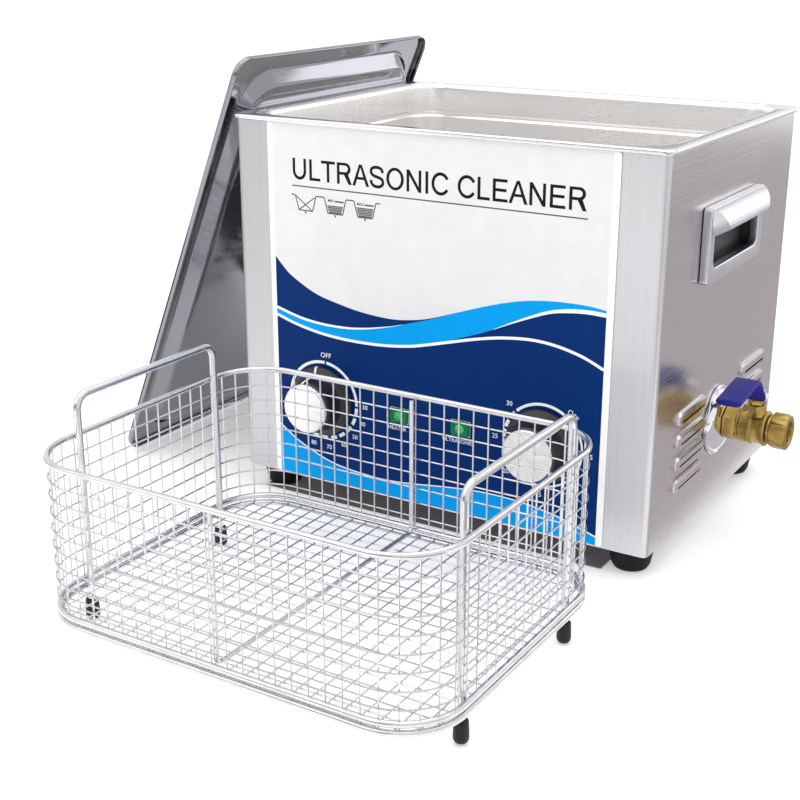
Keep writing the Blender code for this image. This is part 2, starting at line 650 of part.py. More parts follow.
def valve_body():
    """Forged brass body: hexagon inlet, barrel around the ball and a boss for the stem."""
    length = 206 * MM - VALVE_X
    profile = [(0, length), (9.6, length), (9.6, length - 2.4 * MM), (11.8, length - 4.2 * MM),
               (12.1, length - 12 * MM), (11.2, length - 17 * MM), (11.2, length - 22 * MM),
               (10.4, length - 23.5 * MM), (10.4, 1 * MM), (0, 1 * MM)]
    profile = [(r if r == 0 else r * MM, z) for r, z in profile]
    body = turned("valve_body", profile, BRASS, MACHINE, (VALVE_X, VALVE_Y, VALVE_Z), "X", 24)
    hexagon = prism("valve_hex", [polygon(6, 22 * MM)], 9 * MM, None, MACHINE)
    hexagon.location, hexagon.rotation_euler = (VALVE_X + 4.5 * MM, VALVE_Y, VALVE_Z), TURN["X"]
    boss = rod("valve_boss", 6.4 * MM, 17 * MM, None, MACHINE, (STEM_X, VALVE_Y, VALVE_Z), steps=20)
    boss.rotation_euler.z = math.radians(7)
    join(body, hexagon, boss)
    start = (VALVE_X - 10 * MM, VALVE_Y, VALVE_Z)
    bore = rod("valve_bore", PIPE_BORE, 60 * MM, None, MACHINE, start, "X", 20)
    chamber = turned("valve_chamber", ball_profile(BALL_R + 0.6 * MM, 8), None, MACHINE,
                     (STEM_X, VALVE_Y, VALVE_Z), steps=16)
    stem_bore = rod("stem_bore", 2.9 * MM, 30 * MM, None, MACHINE, (STEM_X, VALVE_Y, VALVE_Z), steps=16)
    chamber.rotation_euler.z, stem_bore.rotation_euler.z = math.radians(5), math.radians(9)
    cut(body, bore, chamber, stem_bore)


def valve_trim():
    """Gland nut on the boss and the bored hexagon nut at the outlet."""
    nut_z = VALVE_Z + 17 * MM + GAP + 1.7 * MM
    nut = prism("gland_nut", [polygon(6, 11 * MM), arc(0, 0, 2.9 * MM, 0, 337.5, 15)], 3.4 * MM,
                BRASS, MACHINE, (STEM_X, VALVE_Y, nut_z))
    nut.rotation_euler.z = math.radians(15)
    profile = [(6.6, 12.6), (10.4, 12.6), (13.2, 11), (13.2, 1.4), (11.6, 0), (6.6, 0)]
    outlet = turned("outlet_nut", [(r * MM, z * MM) for r, z in profile], BRASS, MACHINE,
                    (206 * MM + GAP, VALVE_Y, VALVE_Z), "X", 36, closed=True)
    flats = prism("outlet_flats", [polygon(6, 24 * MM)], 40 * MM, None, MACHINE)
    flats.location, flats.rotation_euler = (212 * MM, VALVE_Y, VALVE_Z), TURN["X"]
    combine(outlet, flats, "INTERSECT")


def valve_motion():
    """What turns with the lever: ball, stem, lever and its nut, all on the stem's axis."""
    axis = empty("valve_axis", MACHINE_AT + Vector((STEM_X, VALVE_Y, VALVE_Z)))
    ball = turned("valve_ball", ball_profile(BALL_R, 10), CHROME, axis, (0, 0, 0), steps=18)
    cut(ball, rod("ball_bore", 4.6 * MM, 30 * MM, None, axis, (0, 15 * MM, 0), "FRONT", 20))
    low, top, radius, chamfer = BALL_R + 2 * GAP, 30 * MM, 2.5 * MM, 0.4 * MM
    profile = [(0, top), (radius - chamfer, top), (radius, top - chamfer), (radius, low), (0, low)]
    turned("valve_stem", profile, DARK_STEEL, axis, (0, 0, 0), steps=16)

    plate_z = 22.2 * MM
    rise = [(7, 0), (-5, 0), (-8, 1.6), (-24, 18.4), (-26.5, 19.2), (-29, 19), (-68, 14.5)]
    path = [(y * MM, plate_z + up * MM) for y, up in rise]
    lever = prism("valve_lever", [ribbon(path, 2.2 * MM)], 17 * MM, BLUE, axis, facing="RIGHT")
    modify(lever, "BEVEL", width=0.7 * MM, segments=2, limit_method="ANGLE", angle_limit=math.radians(40))
    cut(lever, rod("lever_hole", 2.9 * MM, 10 * MM, None, axis, (0, 0, plate_z - 5 * MM), steps=16))
    prism("lever_nut", [polygon(6, 9 * MM), arc(0, 0, 2.8 * MM, 0, 337.5, 15)], 3.6 * MM, CHROME, axis,
          (0, 0, plate_z + 1.1 * MM + GAP + 1.8 * MM))


# ---------------------------------------------------------------- rear fittings

def power_inlet():
    """Three-pin appliance inlet with an open socket."""
    face = Vector((INLET_X, CASE_D / 2 + GAP, POWER_Z))
    inlet = box("power_inlet", (30 * MM, 2.6 * MM, 24 * MM), face + Vector((0, 1.3, 0)) * MM, BLACK,
                MACHINE, 0.8 * MM, 2)
    body = box("inlet_body", (24 * MM, 20 * MM, 18 * MM), face - Vector((0, 8.5, 0)) * MM, None, MACHINE)
    pocket = box("inlet_pocket", (20 * MM, 20 * MM, 14 * MM), face - Vector((0, 5, 0)) * MM, None, MACHINE)
    join(inlet, body)
    cut(inlet, pocket)
    for x, z in ((-6, -1), (0, 2), (6, -1)):
        spot = face + Vector((x, -9, z)) * MM
        join(inlet, box("inlet_pin", (2 * MM, 14 * MM, 4 * MM), spot, None, MACHINE))


def power_switch():
    """Rocker switch: frame through the rear panel, and the rocker on its cross axis."""
    face = Vector((SWITCH_X, CASE_D / 2 + GAP, POWER_Z))
    frame = box("switch_frame", (15 * MM, 2 * MM, 22 * MM), face + Vector((0, 1, 0)) * MM, BLACK,
                MACHINE, 0.6 * MM, 2)
    body = box("switch_body", (12.4 * MM, 18 * MM, 19 * MM), face - Vector((0, 8, 0)) * MM, None, MACHINE)
    pocket = box("switch_pocket", (10 * MM, 14 * MM, 17 * MM), face - Vector((0, 1, 0)) * MM, None, MACHINE)
    join(frame, body)
    cut(frame, pocket)
    outline = [(-7.2, -3), (7.2, -3), (7.2, 2.6), (0, 1.2), (-7.2, 2.6)]
    rocker = prism("power_rocker", [[(up * MM, out * MM) for up, out in outline]], 9.2 * MM, BLACK, MACHINE)
    basis = Matrix(((0, 0, 1), (0, 1, 0), (1, 0, 0)))            # up, outward, across to case axes
    tilt = Matrix.Rotation(-ROCKER_TILT, 4, "X")
    rocker.matrix_local = Matrix.Translation(face + Vector((0, 0.5, 0)) * MM) @ tilt @ basis.to_4x4()


def fuse_holder():
    profile = [(0, 5), (3, 5), (3.4, 4), (6.2, 3.6), (8, 2.6), (8, 0), (5.6, 0), (5.6, -22), (0, -22)]
    turned("fuse_holder", [(r * MM, z * MM) for r, z in profile], BLACK, MACHINE,
           (FUSE_X, CASE_D / 2 + GAP, POWER_Z), "BACK", 24)


# ---------------------------------------------------------------- lid

def lid():
    """Pressed lid: turned lip, flat flange and a raised centre panel on its inner side."""
    flange, slope = 26 * MM, 22 * MM
    sections = [(LID_L, LID_W, LID_R, LID_LIP), (LID_L, LID_W, LID_R, 1 * MM),
                (LID_L - 2 * MM, LID_W - 2 * MM, LID_R - 1 * MM, 0),
                (LID_L - flange, LID_W - flange, 32 * MM, 0),
                (LID_L - flange - 0.15 * slope, LID_W - flange - 0.15 * slope, 31 * MM, 0.08 * PANEL_OUT),
                (LID_L - flange - 0.85 * slope, LID_W - flange - 0.85 * slope, 25 * MM, 0.92 * PANEL_OUT),
                (LID_L - flange - slope, LID_W - flange - slope, 24 * MM, PANEL_OUT)]
    rings = [(rounded_rect(length, width, r), height) for length, width, r, height in sections]
    sheet = loft("lid", rings, POLISHED, LID)
    modify(sheet, "SOLIDIFY", thickness=LID_SHEET, offset=-1, use_even_offset=True)


def lid_handle():
    """Bent steel bar across the middle of the lid's outer side, with a foot pad at each end."""
    half, out, bend = 45 * MM, -28 * MM, 8 * MM
    base = -LID_SHEET - GAP + PANEL_OUT
    path = [(-half, base - 1.6 * MM)] + arc(bend - half, out + bend, bend, 180, 270, 4)
    path += arc(half - bend, out + bend, bend, 270, 360, 4) + [(half, base - 1.6 * MM)]
    bar = wire("lid_handle", [(0, y, z) for y, z in path], 3 * MM, CHROME, LID, sides=3)
    for end in (-1, 1):
        join(bar, box("handle_pad", (18 * MM, 16 * MM, 2 * MM), (0, end * half, base - 1 * MM), None, LID))


# ---------------------------------------------------------------- basket

def basket_rings():
    outline = rounded_rect(BASKET_W, BASKET_D, BASKET_R, 5)
    for name, z in (("basket_rim", BASKET_RIM_Z), ("basket_lower_ring", RING_Z[0]),
                    ("basket_upper_ring", RING_Z[1])):
        wire(name, [(x, y, z) for x, y in outline], RIM_WIRE, WIRE, BASKET, closed=True)


def basket_mesh():
    """Wire-mesh wall and floor, each as one thin solid of the true outer shape."""
    low, high = RING_Z[1] + RIM_WIRE + GAP, BASKET_RIM_Z - RIM_WIRE - GAP
    wall = [rounded_rect(BASKET_W + MESH_T, BASKET_D + MESH_T, BASKET_R + MESH_T / 2, 5),
            rounded_rect(BASKET_W - MESH_T, BASKET_D - MESH_T, BASKET_R - MESH_T / 2, 5)]
    prism("basket_wall", wall, high - low, WIRE, BASKET, (0, 0, (low + high) / 2))
    inset = 2 * RIM_WIRE + 2 * GAP
    floor = [rounded_rect(BASKET_W - inset, BASKET_D - inset, BASKET_R - inset / 2, 5)]
    bottom = prism("basket_floor", floor, MESH_T, WIRE, BASKET, (0, 0, RING_Z[0] + 0.5 * MM))
    for sx in (-1, 1):
        for sy in (-1, 1):
            spot = (sx * (LEG_X + 1 * MM), sy * LEG_Y, RING_Z[0])
            cut(bottom, box("leg_notch", (8 * MM, 6.4 * MM, 10 * MM), spot, None, BASKET))


def basket_handles():
    """Bent rods just inside the end walls; their ends pass the floor and carry the rubber feet."""
    bend, low = 8 * MM, 3.4 * MM
    path = [(-LEG_Y, low)] + arc(bend - LEG_Y, BASKET_TOP_Z - bend, bend, 180, 90, 4)
    path += arc(LEG_Y - bend, BASKET_TOP_Z - bend, bend, 90, 0, 4) + [(LEG_Y, low)]
    cap = [(0, 2.8), (2.9, 2.8), (2.9, 16), (4, 16), (4.5, 15), (5, 4), (4.4, 1.2), (3.2, 0), (0, 0)]
    for side, sx in (("left", -1), ("right", 1)):
        wire(f"basket_handle_{side}", [(sx * LEG_X, y, z) for y, z in path], LEG_WIRE, WIRE, BASKET)
        for end, sy in (("front", -1), ("rear", 1)):
            turned(f"basket_foot_{end}_{side}", [(r * MM, z * MM) for r, z in cap], RUBBER, BASKET,
                   (sx * LEG_X, sy * LEG_Y, 0), steps=12)


def basket_tie():
    """Stiffening wire down the front, across the floor and up the back."""
    y, high, low, bend = BASKET_D / 2 - 4 * MM, BASKET_RIM_Z - RIM_WIRE - 2 * GAP, 26.2 * MM, 4 * MM
    path = [(-y, high)] + arc(bend - y, low + bend, bend, 180, 270, 3)
    path += arc(y - bend, low + bend, bend, 270, 360, 3) + [(y, high)]
    wire("basket_centre_wire", [(0, py, pz) for py, pz in path], TIE_WIRE, WIRE, BASKET)


def build():
    housing()
    rear_panel()
    base_plate()
    front_label()
    feet()
    tank()
    transducers()
    heater_pads()
    generator()
    fan()
    knobs()
    control_units()
    lamps()
    for side_name, side in (("right", 1), ("left", -1)):
        carry_handle(f"carry_handle_{side_name}", side)
        handle_cup(f"handle_cup_{side_name}", side)
    drain_pipe()
    escutcheon()
    valve_body()
    valve_trim()
    valve_motion()
    power_inlet()
    power_switch()
    fuse_holder()
    lid()
    lid_handle()
    basket_rings()
    basket_mesh()
    basket_handles()
    basket_tie()


build()
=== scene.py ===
"""Looks for the bench-top ultrasonic cleaner: brushed case with its printed front, polished tank
and lid, brass drain valve, pointer knobs and a basket of real wires. Metres, front faces -Y."""
import math

import bmesh
import bpy
from mathutils import Matrix, Vector


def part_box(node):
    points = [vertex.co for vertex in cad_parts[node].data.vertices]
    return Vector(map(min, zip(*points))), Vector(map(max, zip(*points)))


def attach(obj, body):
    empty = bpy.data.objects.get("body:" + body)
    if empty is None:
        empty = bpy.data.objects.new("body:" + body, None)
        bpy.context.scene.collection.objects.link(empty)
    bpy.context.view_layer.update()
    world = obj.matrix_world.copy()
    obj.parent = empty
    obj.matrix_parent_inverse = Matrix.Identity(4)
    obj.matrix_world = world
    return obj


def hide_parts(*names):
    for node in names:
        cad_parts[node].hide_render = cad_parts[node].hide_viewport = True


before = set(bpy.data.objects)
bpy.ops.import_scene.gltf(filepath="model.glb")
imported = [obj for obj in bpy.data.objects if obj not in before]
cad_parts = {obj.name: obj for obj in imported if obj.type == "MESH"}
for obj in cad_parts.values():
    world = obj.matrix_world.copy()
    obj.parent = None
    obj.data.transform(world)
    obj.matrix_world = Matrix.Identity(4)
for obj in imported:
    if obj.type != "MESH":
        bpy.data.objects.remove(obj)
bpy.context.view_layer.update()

MM = 0.001


def middle(node):
    low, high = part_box(node)
    return (low + high) / 2


# The three assemblies, as in the CAD
MACHINE = Vector((middle("tank").x, middle("tank").y, 0))
BASKET = Vector((middle("basket_rim").x, middle("basket_rim").y, 0))
LID_TILT = math.radians(22.4)
LID_AT = Vector((-190.597, 136.496, 164.675)) * MM
LID = Matrix.Translation(LID_AT) @ Matrix(((math.sin(LID_TILT), 0, math.cos(LID_TILT)), (0, -1, 0),
                                           (math.cos(LID_TILT), 0, -math.sin(LID_TILT)))).to_4x4()
FOOT_H = 18 * MM
LABEL_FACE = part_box("front_label")[0].y
RIM_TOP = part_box("tank")[1].z


def axes(x, y, z, origin=(0, 0, 0)):
    """Matrix with these three columns and this origin."""
    return Matrix.Translation(origin) @ Matrix((x, y, z)).transposed().to_4x4()


def upwards(origin):
    return Matrix.Translation(origin)


def frontwards(origin):
    """Local Z looks out of the front panel."""
    return axes((1, 0, 0), (0, 0, 1), (0, -1, 0), origin)


def backwards(origin):
    return axes((-1, 0, 0), (0, 0, 1), (0, 1, 0), origin)


def rightwards(origin):
    return axes((0, 1, 0), (0, 0, 1), (1, 0, 0), origin)


# ---------------------------------------------------------------- materials

class Look:
    """A principled material and the few nodes that vary it."""

    def __init__(self, name, **sockets):
        self.material = bpy.data.materials.new(name)
        self.material.use_nodes = True
        self.nodes, self.links = self.material.node_tree.nodes, self.material.node_tree.links
        self.shader = self.nodes["Principled BSDF"]
        self.where = self.nodes.new("ShaderNodeTexCoord").outputs["Object"]
        for socket, value in sockets.items():
            self.shader.inputs[socket.replace("_", " ")].default_value = value

    def node(self, kind, settings=(), **inputs):
        made = self.nodes.new(kind)
        for key, value in dict(settings).items():
            setattr(made, key, value)
        for key, value in inputs.items():
            socket = made.inputs[int(key[1:])] if key[0] == "_" else made.inputs[key]
            if isinstance(value, bpy.types.NodeSocket):
                self.links.new(value, socket)
            else:
                socket.default_value = value
        return made

    def noise(self, scale, stretch=(1, 1, 1), detail=3.0, vector=None):
        moved = self.node("ShaderNodeMapping", Vector=vector or self.where, Scale=stretch)
        return self.node("ShaderNodeTexNoise", Vector=moved.outputs[0], Scale=scale,
                         Detail=detail).outputs[0]

    def cells(self, scale, stretch=(1, 1, 1)):
        moved = self.node("ShaderNodeMapping", Vector=self.where, Scale=stretch)
        return self.node("ShaderNodeTexVoronoi", Vector=moved.outputs[0], Scale=scale).outputs[0]

    def range(self, value, low, high, start=0.3, end=0.7):
        made = self.node("ShaderNodeMapRange", _0=value, _1=start, _2=end, _3=low, _4=high)
        return made.outputs[0]

    def math(self, operation, a, b):
        return self.node("ShaderNodeMath", {"operation": operation}, _0=a, _1=b).outputs[0]

    def mix(self, fac, a, b):
        made = self.node("ShaderNodeMix", {"data_type": "RGBA"}, _0=fac)
        for index, value in ((6, a), (7, b)):
            if isinstance(value, bpy.types.NodeSocket):
                self.links.new(value, made.inputs[index])
            else:
                made.inputs[index].default_value = (*value, 1)
        return made.outputs[2]

    def set(self, socket, value):
        self.links.new(value, self.shader.inputs[socket])

    def weigh(self, a, a_share, b, b_share):
        return self.math("ADD", self.math("MULTIPLY", a, a_share), self.math("MULTIPLY", b, b_share))

    def tone(self, fac, colour, low, high):
        """Colour that wanders between two shades of one."""
        self.set("Base Color", self.mix(fac, shade(colour, low), shade(colour, high)))

    def bump(self, height, depth):
        made = self.node("ShaderNodeBump", Height=height, Strength=1.0, Distance=depth)
        self.set("Normal", made.outputs[0])


BRUSH_DEPTH = 0.004 * MM


def shade(colour, factor):
    return tuple(min(1.0, c * factor) for c in colour)


def plain(name, colour, rough, metal=0.0, tint=0.06, spread=0.04, blotch=25.0, fine=1800.0,
          stretch=(1, 1, 1), depth=0.02, **sockets):
    """Colour and roughness that wander over the surface, with a fine raised grain."""
    made = Look(name, Metallic=metal, **sockets)
    cloud = made.noise(blotch)
    grain = made.noise(fine, stretch)
    both = made.weigh(cloud, 0.5, grain, 0.5)
    made.tone(made.range(both, 0, 1, 0.38, 0.62), colour, 1 - tint, 1 + tint)
    made.set("Roughness", made.range(cloud, rough - spread, rough + spread))
    made.bump(grain, depth * MM)
    return made.material


def brushed(name, colour, rough, across=(0, 0, 1)):
    """Sheet steel with fine lines; across is the axis at a right angle to them."""
    made = Look(name, Metallic=1.0, Anisotropic=0.35)
    fine = tuple(1300 if a else 9 for a in across)
    wide = tuple(240 if a else 2.5 for a in across)
    lines = made.noise(1, fine, 4)
    streaks = made.noise(1, wide, 3)
    cloud = made.noise(9)
    both = made.weigh(lines, 0.55, streaks, 0.45)
    made.tone(made.range(both, 0, 1, 0.36, 0.64), colour, 0.95, 1.05)
    made.set("Roughness", made.math("ADD", made.range(both, -0.05, 0.05),
                                    made.range(cloud, rough - 0.03, rough + 0.03)))
    made.bump(lines, BRUSH_DEPTH)
    return made.material


def case_steel():
    """The bent sheet: lines lie along the sides and stand up on the front. Its strips beside the label are
    painted a little lighter than the sides, and painted shade darkens them towards the left."""
    made = Look("case_brushed_steel", Metallic=1.0, Anisotropic=0.3)
    level = made.noise(1, (9, 9, 1300), 4)
    upright = made.noise(1, (1300, 1300, 9), 4)
    sideways, depth, _ = made.node("ShaderNodeSeparateXYZ", Vector=made.where).outputs
    front = made.range(depth, 1, 0, MACHINE.y - 124 * MM, MACHINE.y - 122 * MM)
    # painted shade: this mask darkens the front strips from right to left
    left = made.range(sideways, 1, 0, MACHINE.x - 150 * MM, MACHINE.x + 150 * MM)
    lines = made.weigh(upright, front, level, made.math("SUBTRACT", 1.0, front))
    cloud = made.noise(7)
    # the front strips' colour is a little lighter than the sides': painted light on the same sheet
    sides, strips = (0.60, 0.575, 0.585), (0.63, 0.625, 0.645)
    tone = made.range(made.weigh(lines, 0.7, cloud, 0.3), 0, 1, 0.36, 0.64)
    strip_with_painted_shade = made.mix(left, made.mix(tone, shade(strips, 0.97), shade(strips, 1.11)),
                     made.mix(tone, shade(strips, 0.80), shade(strips, 0.92)))
    side = made.mix(tone, shade(sides, 0.95), shade(sides, 1.05))
    made.set("Base Color", made.mix(front, side, strip_with_painted_shade))
    made.set("Roughness", made.math("ADD", made.range(lines, -0.05, 0.05),
                                    made.math("ADD", made.range(cloud, 0.22, 0.28),
                                              made.math("MULTIPLY", front, 0.16))))
    made.bump(lines, BRUSH_DEPTH)
    return made.material


def sheet_polish(name, colour, rough, waves, metal=1.0):
    """Drawn and polished sheet: faint waves that bend the reflections and very fine rubbing marks."""
    made = Look(name, Metallic=metal)
    wave = made.noise(6, (1, 1, 1), 0.0)
    smear = made.noise(9, (1, 1, 1.6), 2)
    rubbed = made.noise(1, (60, 60, 900), 3)
    made.tone(made.range(smear, 0, 1), colour, 0.97, 1.03)
    made.set("Roughness", made.math("ADD", made.range(smear, rough * 0.9, rough * 1.1),
                                    made.range(rubbed, -0.02, 0.02)))
    made.bump(made.weigh(wave, 1.0, rubbed, 0.01), waves * MM)
    return made.material


def turned_metal(name, colour, rough, centre):
    """Concentric turning marks about an axis along Y through the centre, and painted sheen in fans round it."""
    made = Look(name, Metallic=0.85, Anisotropic=0.6)
    offset = made.node("ShaderNodeVectorMath", {"operation": "SUBTRACT"}, _0=made.where, _1=centre)
    flat = made.node("ShaderNodeVectorMath", {"operation": "MULTIPLY"}, _0=offset.outputs[0], _1=(1, 0, 1))
    reach = made.node("ShaderNodeVectorMath", {"operation": "LENGTH"}, _0=flat.outputs[0]).outputs[1]
    rings = made.node("ShaderNodeTexNoise", {"noise_dimensions": "1D"}, W=reach, Scale=2600.0,
                      Detail=2.0).outputs[0]
    spoke = made.node("ShaderNodeVectorMath", {"operation": "NORMALIZE"}, _0=flat.outputs[0])
    # painted sheen: light and dark fans round the axis stand for the turned cap's radial sheen
    painted_sheen_fans = made.noise(3.2, (1, 1, 1), 3.0, spoke.outputs[0])
    made.tone(made.range(painted_sheen_fans, 0, 1), colour, 0.86, 1.08)
    made.set("Roughness", made.range(rings, rough - 0.06, rough + 0.06))
    made.bump(rings, 0.01 * MM)
    return made.material


def wire_steel(name, colour, rough):
    """Drawn and electropolished wire, a little dull where it was welded."""
    made = Look(name, Metallic=1.0)
    spots = made.noise(90, (1, 1, 1), 4)
    lines = made.noise(700)
    made.tone(made.range(spots, 0, 1), colour, 0.88, 1.05)
    made.set("Roughness", made.range(spots, rough + 0.08, rough - 0.05))
    made.bump(lines, 0.01 * MM)
    return made.material


def cast_brass():
    """Forged brass: a sandy skin, darker where it is less rubbed."""
    made = Look("forged_brass_skin", Metallic=1.0)
    sand = made.noise(900, (1, 1, 1), 5)
    cloud = made.noise(70, (1, 1, 1), 4)
    made.set("Base Color", made.mix(made.range(cloud, 0, 1), (0.315, 0.205, 0.045), (0.55, 0.395, 0.13)))
    made.set("Roughness", made.range(cloud, 0.40, 0.28))
    made.bump(sand, 0.03 * MM)
    return made.material


def lens_green():
    made = Look("green_lens_glow", IOR=1.45, Specular_IOR_Level=0.12)
    facets = made.cells(420)
    cloud = made.noise(160)
    made.set("Base Color", made.mix(made.range(facets, 0, 1, 0.0, 0.6), (0.004, 0.11, 0.035),
                                    (0.01, 0.21, 0.07)))
    made.set("Roughness", made.range(cloud, 0.16, 0.3))
    made.bump(facets, 0.15 * MM)
    return made.material


def print_ink(name, colour):
    """Screen-printed film: very slight mottling and orange peel."""
    return plain(name, colour, 0.42, tint=0.03, spread=0.04, blotch=60, fine=900, depth=0.006,
                 Specular_IOR_Level=0.06)


STEEL = case_steel()
PANEL_STEEL = brushed("rear_brushed_steel", (0.58, 0.56, 0.57), 0.30)
BASE_STEEL = brushed("base_brushed_steel", (0.45, 0.44, 0.45), 0.38, (0, 1, 0))
# the tank's inside is a lighter, partly matte copy of the rim's steel: painted light
TANK_STEEL_PAINTED_LIGHT = sheet_polish("tank_steel_painted_light", (0.91, 0.895, 0.887), 0.26, 0.03, 0.72)
RIM_STEEL = sheet_polish("rim_polished_steel", (0.80, 0.795, 0.82), 0.17, 0.05)
# the lid's polished steel is painted far darker than the tank's: painted dark reflection
LID_STEEL_PAINTED_DARK = sheet_polish("lid_steel_painted_dark", (0.275, 0.272, 0.30), 0.09, 0.08)
CHROME = plain("chrome_plate", (0.83, 0.84, 0.87), 0.09, 1.0, 0.04, 0.04, 40, 500, depth=0.004)
SATIN_CHROME = plain("satin_chrome_plate", (0.64, 0.65, 0.69), 0.30, 1.0, 0.04, 0.05, 40, 900, depth=0.006)
BRASS = cast_brass()
WIRE = wire_steel("basket_wire_steel", (0.70, 0.695, 0.71), 0.19)
MESH_WIRE = wire_steel("basket_mesh_steel", (0.67, 0.665, 0.685), 0.24)
BLACK_PLASTIC = plain("moulded_black_plastic", (0.022, 0.021, 0.024), 0.42, 0, 0.2, 0.06, 60, 1600, depth=0.04)
KNOB_PLASTIC = plain("knob_black_plastic", (0.016, 0.015, 0.018), 0.30, 0, 0.2, 0.05, 80, 1800, depth=0.02)
RUBBER = plain("foot_black_rubber", (0.006, 0.005, 0.008), 0.66, 0, 0.25, 0.08, 90, 1400, depth=0.06,
               Specular_IOR_Level=0.2)
BASKET_RUBBER = plain("basket_black_rubber", (0.006, 0.005, 0.010), 0.40, 0, 0.25, 0.06, 120, 1500, depth=0.04,
                      Specular_IOR_Level=0.3)
FILM = print_ink("label_white_film", (0.93, 0.93, 0.93))
FIELD_INK = print_ink("label_pale_ink", (0.745, 0.745, 0.75))
NAVY_INK = print_ink("label_navy_ink", (0.0006, 0.026, 0.145))
CYAN_INK = print_ink("label_cyan_ink", (0.0, 0.33, 0.80))
WHITE_INK = print_ink("label_white_ink", (0.92, 0.94, 0.96))
BLACK_INK = print_ink("label_black_ink", (0.012, 0.012, 0.012))
GREY_INK = print_ink("label_grey_ink", (0.10, 0.10, 0.105))
POINTER_WHITE = plain("pointer_white_paint", (0.85, 0.85, 0.86), 0.4, 0, 0.05, 0.05, 90, 1500, depth=0.02)
BLUE_VINYL = plain("lever_blue_vinyl", (0.008, 0.010, 0.20), 0.40, 0, 0.16, 0.06, 130, 900, depth=0.05,
                   Specular_IOR_Level=0.16)
GREEN_LENS = lens_green()
GREEN_GLOW = plain("green_lens_dome", (0.05, 0.42, 0.15), 0.24, 0, 0.3, 0.08, 260, 1500, depth=0.03,
                   Specular_IOR_Level=0.4)
ALUMINIUM = plain("spun_aluminium_grey", (0.70, 0.70, 0.70), 0.36, 1.0, 0.06, 0.05, 40, 1500, depth=0.02)
TUBE = plain("drawn_copper_tube", (0.74, 0.60, 0.52), 0.28, 1.0, 0.08, 0.06, 50, 900, depth=0.02)
DARK_STEEL = plain("blackened_steel", (0.24, 0.24, 0.26), 0.38, 1.0, 0.1, 0.06, 60, 1200, depth=0.02)
BOARD = plain("circuit_board_green", (0.02, 0.14, 0.05), 0.45, 0, 0.18, 0.08, 200, 1600, depth=0.05)
SILICONE = plain("heater_silicone", (0.50, 0.13, 0.035), 0.6, 0, 0.12, 0.05, 60, 1100, depth=0.08)


# ---------------------------------------------------------------- shapes

SHARP = 38  # degrees between faces above which an edge isn't shaded smooth


def finished(mesh, place=None, sharp=SHARP):
    if place is not None:
        mesh.transform(place)
    work = bmesh.new()
    work.from_mesh(mesh)
    bmesh.ops.remove_doubles(work, verts=work.verts, dist=1e-7)
    bmesh.ops.recalc_face_normals(work, faces=work.faces)
    work.to_mesh(mesh)
    work.free()
    mesh.shade_smooth()
    mesh.set_sharp_from_angle(angle=math.radians(sharp))
    return mesh


def skin(rings, place=None, closed=False, hole=None, sharp=SHARP):
    """Mesh through rings of points. A ring of one point closes that end to a tip."""
    work = bmesh.new()
    rows = [[work.verts.new(p) for p in ring] for ring in rings]
    pairs = list(zip(rows, rows[1:])) + ([(rows[-1], rows[0])] if closed else [])
    for low, high in pairs:
        count = max(len(low), len(high))
        for i in range(count):
            j = (i + 1) % count
            corners = []
            for corner in (low[i % len(low)], low[j % len(low)],
                           high[j % len(high)], high[i % len(high)]):
                if corner not in corners:
                    corners.append(corner)
            if len(corners) > 2:
                work.faces.new(corners)
    if hole is not None:
        last = rows[-1]
        inner = [work.verts.new(p) for p in hole]
        edges = [work.edges.get((last[i], last[i - 1])) for i in range(len(last))]
        edges += [work.edges.new((inner[i], inner[i - 1])) for i in range(len(inner))]
        bmesh.ops.triangle_fill(work, edges=edges, use_beauty=True)
    mesh = bpy.data.meshes.new("skin")
    work.to_mesh(mesh)
    work.free()
    return finished(mesh, place, sharp)


def tipped(rings):
    """The rings with a point at the middle of the first and of the last."""
    first, last = ([sum(ring, Vector()) / len(ring)] for ring in (rings[0], rings[-1]))
    return [first] + rings + [last]


def circle(radius, height=0.0, steps=64):
    turns = [math.tau * i / steps for i in range(steps)]
    return [(radius * math.cos(a), radius * math.sin(a), height) for a in turns]


def polar(centre, radius, angle):
    x, y = centre
    return x + radius * math.cos(math.radians(angle)), y + radius * math.sin(math.radians(angle))


def lathe(profile, place, steps=64, closed=False, sharp=SHARP):
    """A profile of (radius, height) in millimetres turned about the local Z axis."""
    rings = [[(0, 0, z * MM)] if r == 0 else circle(r * MM, z * MM, steps) for r, z in profile]
    return skin(rings, place, closed, sharp=sharp)


def arc(x, y, radius, start, end, steps=6):
    angles = [math.radians(start + (end - start) * i / steps) for i in range(steps + 1)]
    return [(x + radius * math.cos(a), y + radius * math.sin(a)) for a in angles]


def rounded_rect(width, depth, radius, steps=12, x=0.0, y=0.0):
    points = []
    for sx, sy, start in ((1, 1, 0), (-1, 1, 90), (-1, -1, 180), (1, -1, 270)):
        corner = (x + sx * (width / 2 - radius), y + sy * (depth / 2 - radius))
        points += arc(*corner, radius, start, start + 90, steps)
    return points


def rect_rings(sections, steps=12):
    """Rings of rounded rectangles, from (width, depth, radius, height) in millimetres."""
    return [[(x * MM, y * MM, z * MM) for x, y in rounded_rect(w, d, r, steps)]
            for w, d, r, z in sections]


def smooth(points, per=6):
    """Points along a Catmull-Rom curve through the given ones."""
    given = [Vector(p) for p in points]
    given = [2 * given[0] - given[1]] + given + [2 * given[-1] - given[-2]]
    path = []
    for a, b, c, d in zip(given, given[1:], given[2:], given[3:]):
        for i in range(per):
            t = i / per
            path.append(0.5 * (2 * b + (c - a) * t + (2 * a - 5 * b + 4 * c - d) * t * t
                               + (3 * b - a - 3 * c + d) * t ** 3))
    return [tuple(p) for p in path] + [tuple(given[-2])]


def heading_at(path, i):
    return (Vector(path[min(i + 1, len(path) - 1)]) - Vector(path[max(i - 1, 0)])).normalized()


